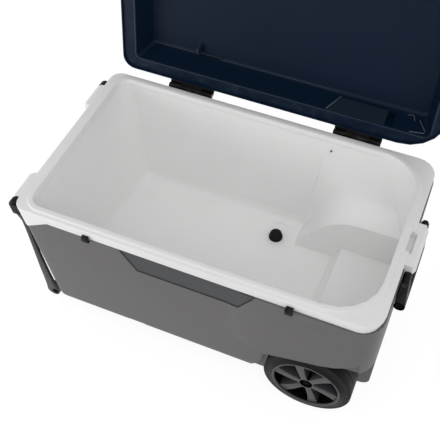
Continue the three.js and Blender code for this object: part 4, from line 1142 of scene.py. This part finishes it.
@dataclass
class LiftHandle:
    """The bail at the wheel end: frame, grip, end discs and pins."""

    shop: Workshop
    grip: Grip = Grip(rib_pitch=7.0, rib_depth=0.8, end_plain=6.0)
    frame_soft: Softness = (1.6, 3)
    sleeve: float = 0.45
    disc_proud: float = 0.9
    disc_edge: float = 0.6
    disc_dish: float = 0.5

    def disc(self, side: Side) -> Form:
        """A dished disc on the outer end of the bar."""
        bar = Place.of("lift_grip")
        face = Place.of("lift_frame").high.y
        radius = bar.size.z / 2 + self.sleeve / 2
        edge, top, foot = self.disc_edge, face + self.disc_proud, face - BURIED
        dish = face - self.disc_dish + self.disc_proud
        profile = [(0.0, dish), (radius * 0.7, dish), (radius * 0.78, top)]
        profile += [*arc((radius - edge, top - edge), edge, 90, 0, 4), (radius, foot), (0.0, foot)]
        centre = (bar.middle.x - self.sleeve, bar.middle.z)
        return Form().turn(profile, centre, steps=40).on_side(side)

    def build(self) -> None:
        """Makes every piece of the handle."""
        self.shop.restyle("lift_frame", Body.LIFT, Slot.TRIM, soft=self.frame_soft)
        form = self.grip.form(Place.of("lift_grip"), self.sleeve).shifted((-self.sleeve, 0, 0))
        self.shop.piece("lift_grip_sleeve", form, Body.LIFT, Slot.SOFT, ["lift_grip"])
        for side in Side:
            name, form = f"lift_disc_{side.word}", self.disc(side)
            # The end discs are black plastic darkened further with painted shade
            self.shop.piece(name, form, Body.LIFT, Slot.TRIM, first=Tone.PAINTED_SHADE)
            self.shop.restyle(f"lift_pin_{side.word}", Body.TUB, Slot.TRIM)


@dataclass
class Wheel:
    """One wheel: a turned tyre, a hub with wide spokes and the axle's cap."""

    shop: Workshop
    side: Side
    tyre_depth: float = 20.0
    tread_sides: Pair = (9.0, 9.5)
    tread_grooves: tuple[float, ...] = (14.0, 26.0, 38.0)
    groove_half: float = 1.2
    groove_depth: float = 1.1
    cheek: tuple[Pair, ...] = (
        (0.7, 8.2), (2.2, 7.5), (5.2, 7.0), (10.5, 6.6), (14.5, 4.6), (18.2, 1.2)
    )
    rim_wall: float = 6.0
    web_set: float = 36.0
    web_thick: float = 5.0
    spoke_set: float = 5.0
    spoke_count: int = 6
    spoke_width: float = 14.0
    spoke_flare: float = 9.0
    spoke_phase: float = 110.0
    spoke_sweep: float = 4.0
    spoke_steps: int = 8
    spoke_soft: Softness = (1.6, 3)
    boss_radius: float = 19.5
    boss_wall: float = 6.5
    boss_set: float = 5.8
    recess: float = 15.0
    bore: float = 6.6
    # Depth under the outer face from which the hub's inner faces are painted as shade
    painted_shade_from: float = 6.0
    dome: tuple[Pair, ...] = (
        (0.0, 1.2), (0.35, 1.0), (0.62, 0.3), (0.66, -2.0), (0.9, -2.6), (1.0, -3.6)
    )
    steps: int = 96

    def __post_init__(self) -> None:
        """Reads the wheel's place from its tyre's box."""
        place = Place.of(f"tyre_{self.side.word}")
        self.centre: Pair = (place.middle.x, place.middle.z)
        self.radius: float = place.size.z / 2
        self.inner, self.outer = place.depths
        self.rim: float = self.radius - self.tyre_depth

    def tyre(self) -> Form:
        """The tyre, with shallow grooves round its tread and a sloping cheek."""
        bead = self.rim + SEAT
        fillet, shoulder = self.tread_sides
        radius, inner, outer = self.radius, self.inner, self.outer
        profile = [(bead, inner), (radius - fillet, inner)]
        profile += arc((radius - fillet, inner + fillet), fillet, -80, 0, 6)
        half, low = self.groove_half, radius - self.groove_depth
        for place in self.tread_grooves:
            y = inner + place
            profile += [(radius, y - half), (low, y - half / 2), (low, y + half / 2)]
            profile += [(radius, y + half)]
        profile += [(radius, outer - shoulder)]
        profile += [(radius - down, outer - back) for down, back in self.cheek]
        profile += [(bead, outer), (bead, inner)]
        return Form().turn(profile, self.centre, steps=self.steps).on_side(self.side)

    def dish(self) -> Form:
        """The hub's rim, boss and the web between them."""
        rim, wall, outer, hub = self.rim, self.rim_wall, self.outer, self.boss_radius
        web, boss, floor = outer - self.web_set, outer - self.boss_set, outer - self.recess
        core, back, inside = hub - self.boss_wall, web - self.web_thick, rim - wall
        edge, cove, crown, lean, dip = 0.8, 2.0, 2.5, 0.6, 0.7
        profile = [
            (self.bore, self.inner), (hub, self.inner), (hub, back), (inside, back),
            (inside, self.inner), (rim, self.inner), (rim, outer - edge), (rim - edge, outer),
            (rim - wall / 2, outer), (inside + lean, outer - wall / 3),
            (inside, outer - wall * 0.7), (inside, web + cove), (inside - cove, web),
            (hub + cove, web), (hub, web + cove), (hub, boss - crown), (hub - edge, boss - dip),
            (hub - crown, boss), (core + edge, boss), (core, boss - edge),
            (core, floor), (self.bore, floor), (self.bore, self.inner),
        ]
        return Form().turn(profile, self.centre, steps=self.steps)

    def spoke_point(self, share: float, edge: int) -> Pair:
        """A point on one edge of the spoke, a share of the way out to the rim."""
        inner = self.boss_radius - self.boss_wall / 2
        outer = self.rim - self.rim_wall / 2
        radius = inner + (outer - inner) * share
        sweep = math.radians(self.spoke_sweep) * share**2
        width = self.spoke_width + self.spoke_flare * share**2
        turn = math.radians(self.spoke_phase) - sweep + edge * width / 2 / radius
        u, v = self.centre
        return u + radius * math.cos(turn), v + radius * math.sin(turn)

    def spoke(self) -> Form:
        """One spoke, swept sideways and widening as it runs out to the rim."""
        shares = [k / self.spoke_steps for k in range(self.spoke_steps + 1)]
        outline = [self.spoke_point(share, -1) for share in shares]
        outline += [self.spoke_point(share, 1) for share in reversed(shares)]
        foot = self.outer - self.web_set - BURIED
        form = Form().slab(outline, "y", foot, self.outer - self.spoke_set)
        return form.soften(*self.spoke_soft)

    def cap(self) -> Form:
        """The pressed cap on the axle's end, inside the hub's recess."""
        place = Place.of(f"axle_cap_{self.side.word}")
        radius = place.size.x / 2
        near, far = place.depths
        profile = [(radius * share, far + proud) for share, proud in self.dome]
        profile += [(radius, near), (0.0, near)]
        return Form().turn(profile, self.centre, steps=32).on_side(self.side)

    def hub(self) -> Form:
        """The dish, its deep faces inside the rim painted near-black as shade, with the spokes in
        it.
        """
        form = self.dish()
        # Deep faces inside the rim take the second finish, near-black painted shade
        for face in form.mesh.faces:
            spot = face.calc_center_median()
            reach = math.hypot(spot.x - self.centre[0], spot.z - self.centre[1])
            deep = spot.y < self.outer - self.painted_shade_from
            if deep and reach < self.rim - self.rim_wall + SEAT:
                face.material_index = 1
        form.add(self.spoke().around(self.spoke_count, self.centre))
        return form.on_side(self.side)

    def build(self) -> None:
        """Makes the wheel's pieces."""
        word, piece = self.side.word, self.shop.piece
        body = Body.WHEEL_FRONT if self.side is Side.FRONT else Body.WHEEL_BACK
        tyre, hub, cap = f"tyre_{word}", f"hub_{word}", f"axle_cap_{word}"
        piece(f"{tyre}_tread", self.tyre(), body, Slot.TYRE, [tyre], WIDE_CREASE)
        piece(f"{hub}_spokes", self.hub(), body, Slot.HUB, [hub], second=Tone.PAINTED_SHADE)
        # The axle's cap is painted near-black as shade, deep in the hub's recess
        piece(f"{cap}_dome", self.cap(), Body.TUB, Slot.TRIM, [cap], first=Tone.PAINTED_SHADE)


@dataclass(frozen=True)
class Lamp:
    """A square soft lamp: its place and width in metres, its power in watts."""

    name: str
    place: Point
    width: float
    power: float


@dataclass
class Studio:
    """Pale floor, soft light and the camera at the photograph's angle. Metres and degrees."""

    ground: float = -0.0462
    eye: Point = (0.401, -0.991, 1.523)
    azimuth: float = 22.93
    pitch: float = 51.04
    roll: float = 0.15
    lens: float = 64.9
    sensor: float = 36.0
    world_level: float = 0.75
    floor_half: float = 6.0
    floor_share: float = 0.8
    floor_glow: float = 1.12
    middle: Point = (0.0, 0.0, 0.2)
    lamps: tuple[Lamp, ...] = (
        Lamp("key", (-1.4, -1.3, 0.45), 0.8, 9.0), Lamp("top", (0.7, -1.1, 1.95), 2.0, 7.5)
    )

    def camera(self) -> None:
        """Sets the camera."""
        data = bpy.data.cameras.new("view")
        data.lens = self.lens
        data.sensor_width = self.sensor
        camera = linked("view", data)
        camera.location = self.eye
        turns = (90 - self.pitch, self.roll, self.azimuth)
        camera.rotation_euler = [math.radians(turn) for turn in turns]
        bpy.context.scene.camera = camera

    def light(self, lamp: Lamp) -> None:
        """Adds a lamp aimed at the cooler's middle."""
        data = bpy.data.lights.new(lamp.name, "AREA")
        data.size = lamp.width
        data.energy = lamp.power
        item = linked(lamp.name, data)
        item.location = lamp.place
        aim = Vector(self.middle) - Vector(lamp.place)
        item.rotation_euler = aim.to_track_quat("-Z", "Y").to_euler()

    def seen_white(self, board: NodeBoard) -> Socket:
        """One for rays that the camera, gloss or glass sends, else nothing."""
        path = board.add("ShaderNodeLightPath")
        total = path.outputs["Is Camera Ray"]
        for name in ("Is Glossy Ray", "Is Transmission Ray"):
            total = board.maths("MAXIMUM", total, path.outputs[name])
        return total

    def floor(self) -> None:
        """Lays a wide pale floor that reads white and keeps soft shadows."""
        mesh = bmesh.new()
        bmesh.ops.create_grid(mesh, x_segments=1, y_segments=1, size=self.floor_half)
        bmesh.ops.translate(mesh, verts=mesh.verts, vec=(0.0, 0.0, self.ground))
        data = bpy.data.meshes.new("floor")
        mesh.to_mesh(data)
        mesh.free()
        floor = linked("floor", data)
        board = NodeBoard("floor_white")
        inputs = {"Base Color": (0.8, 0.8, 0.8, 1.0), "Roughness": 0.9, "Specular IOR Level": 0.0}
        data.materials.append(board.coat(inputs))
        glow = board.add("ShaderNodeEmission", {"Strength": self.floor_glow}).outputs[0]
        part = board.maths("MULTIPLY", self.seen_white(board), self.floor_share)
        plain = board.shader.outputs["BSDF"]
        mix = board.add("ShaderNodeMixShader", {0: part, 1: plain, 2: glow})
        board.feed(board.output, {"Surface": mix.outputs[0]})

    def world(self) -> None:
        """An even pale surround that looks white."""
        world = bpy.data.worlds.new("surround")
        bpy.context.scene.world = world
        world.use_nodes = True
        tree = world.node_tree
        background = tree.nodes["Background"]
        path = tree.nodes.new("ShaderNodeLightPath")
        level = tree.nodes.new("ShaderNodeMapRange")
        level.inputs["To Min"].default_value = self.world_level
        level.inputs["To Max"].default_value = 1.0
        tree.links.new(path.outputs["Is Camera Ray"], level.inputs["Value"])
        tree.links.new(level.outputs["Result"], background.inputs["Strength"])
        background.inputs["Color"].default_value = (1.0, 1.0, 1.0, 1.0)

    def build(self) -> None:
        """Sets the whole studio."""
        bpy.context.scene.view_settings.view_transform = "Standard"
        self.camera()
        self.floor()
        self.world()
        for lamp in self.lamps:
            self.light(lamp)


def main() -> None:
    """Builds the scene in order."""
    logging.basicConfig(level=logging.INFO, format="%(message)s")
    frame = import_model()
    Studio().build()
    shop = Workshop(frame)
    for kind in (Tub, Drain, Hinges, Lid, TowHandle, LiftHandle):
        kind(shop).build()
    shop.restyle("axle", Body.TUB, Slot.STEEL)
    for side in Side:
        Wheel(shop, side).build()


if __name__ == "__main__":
    main()
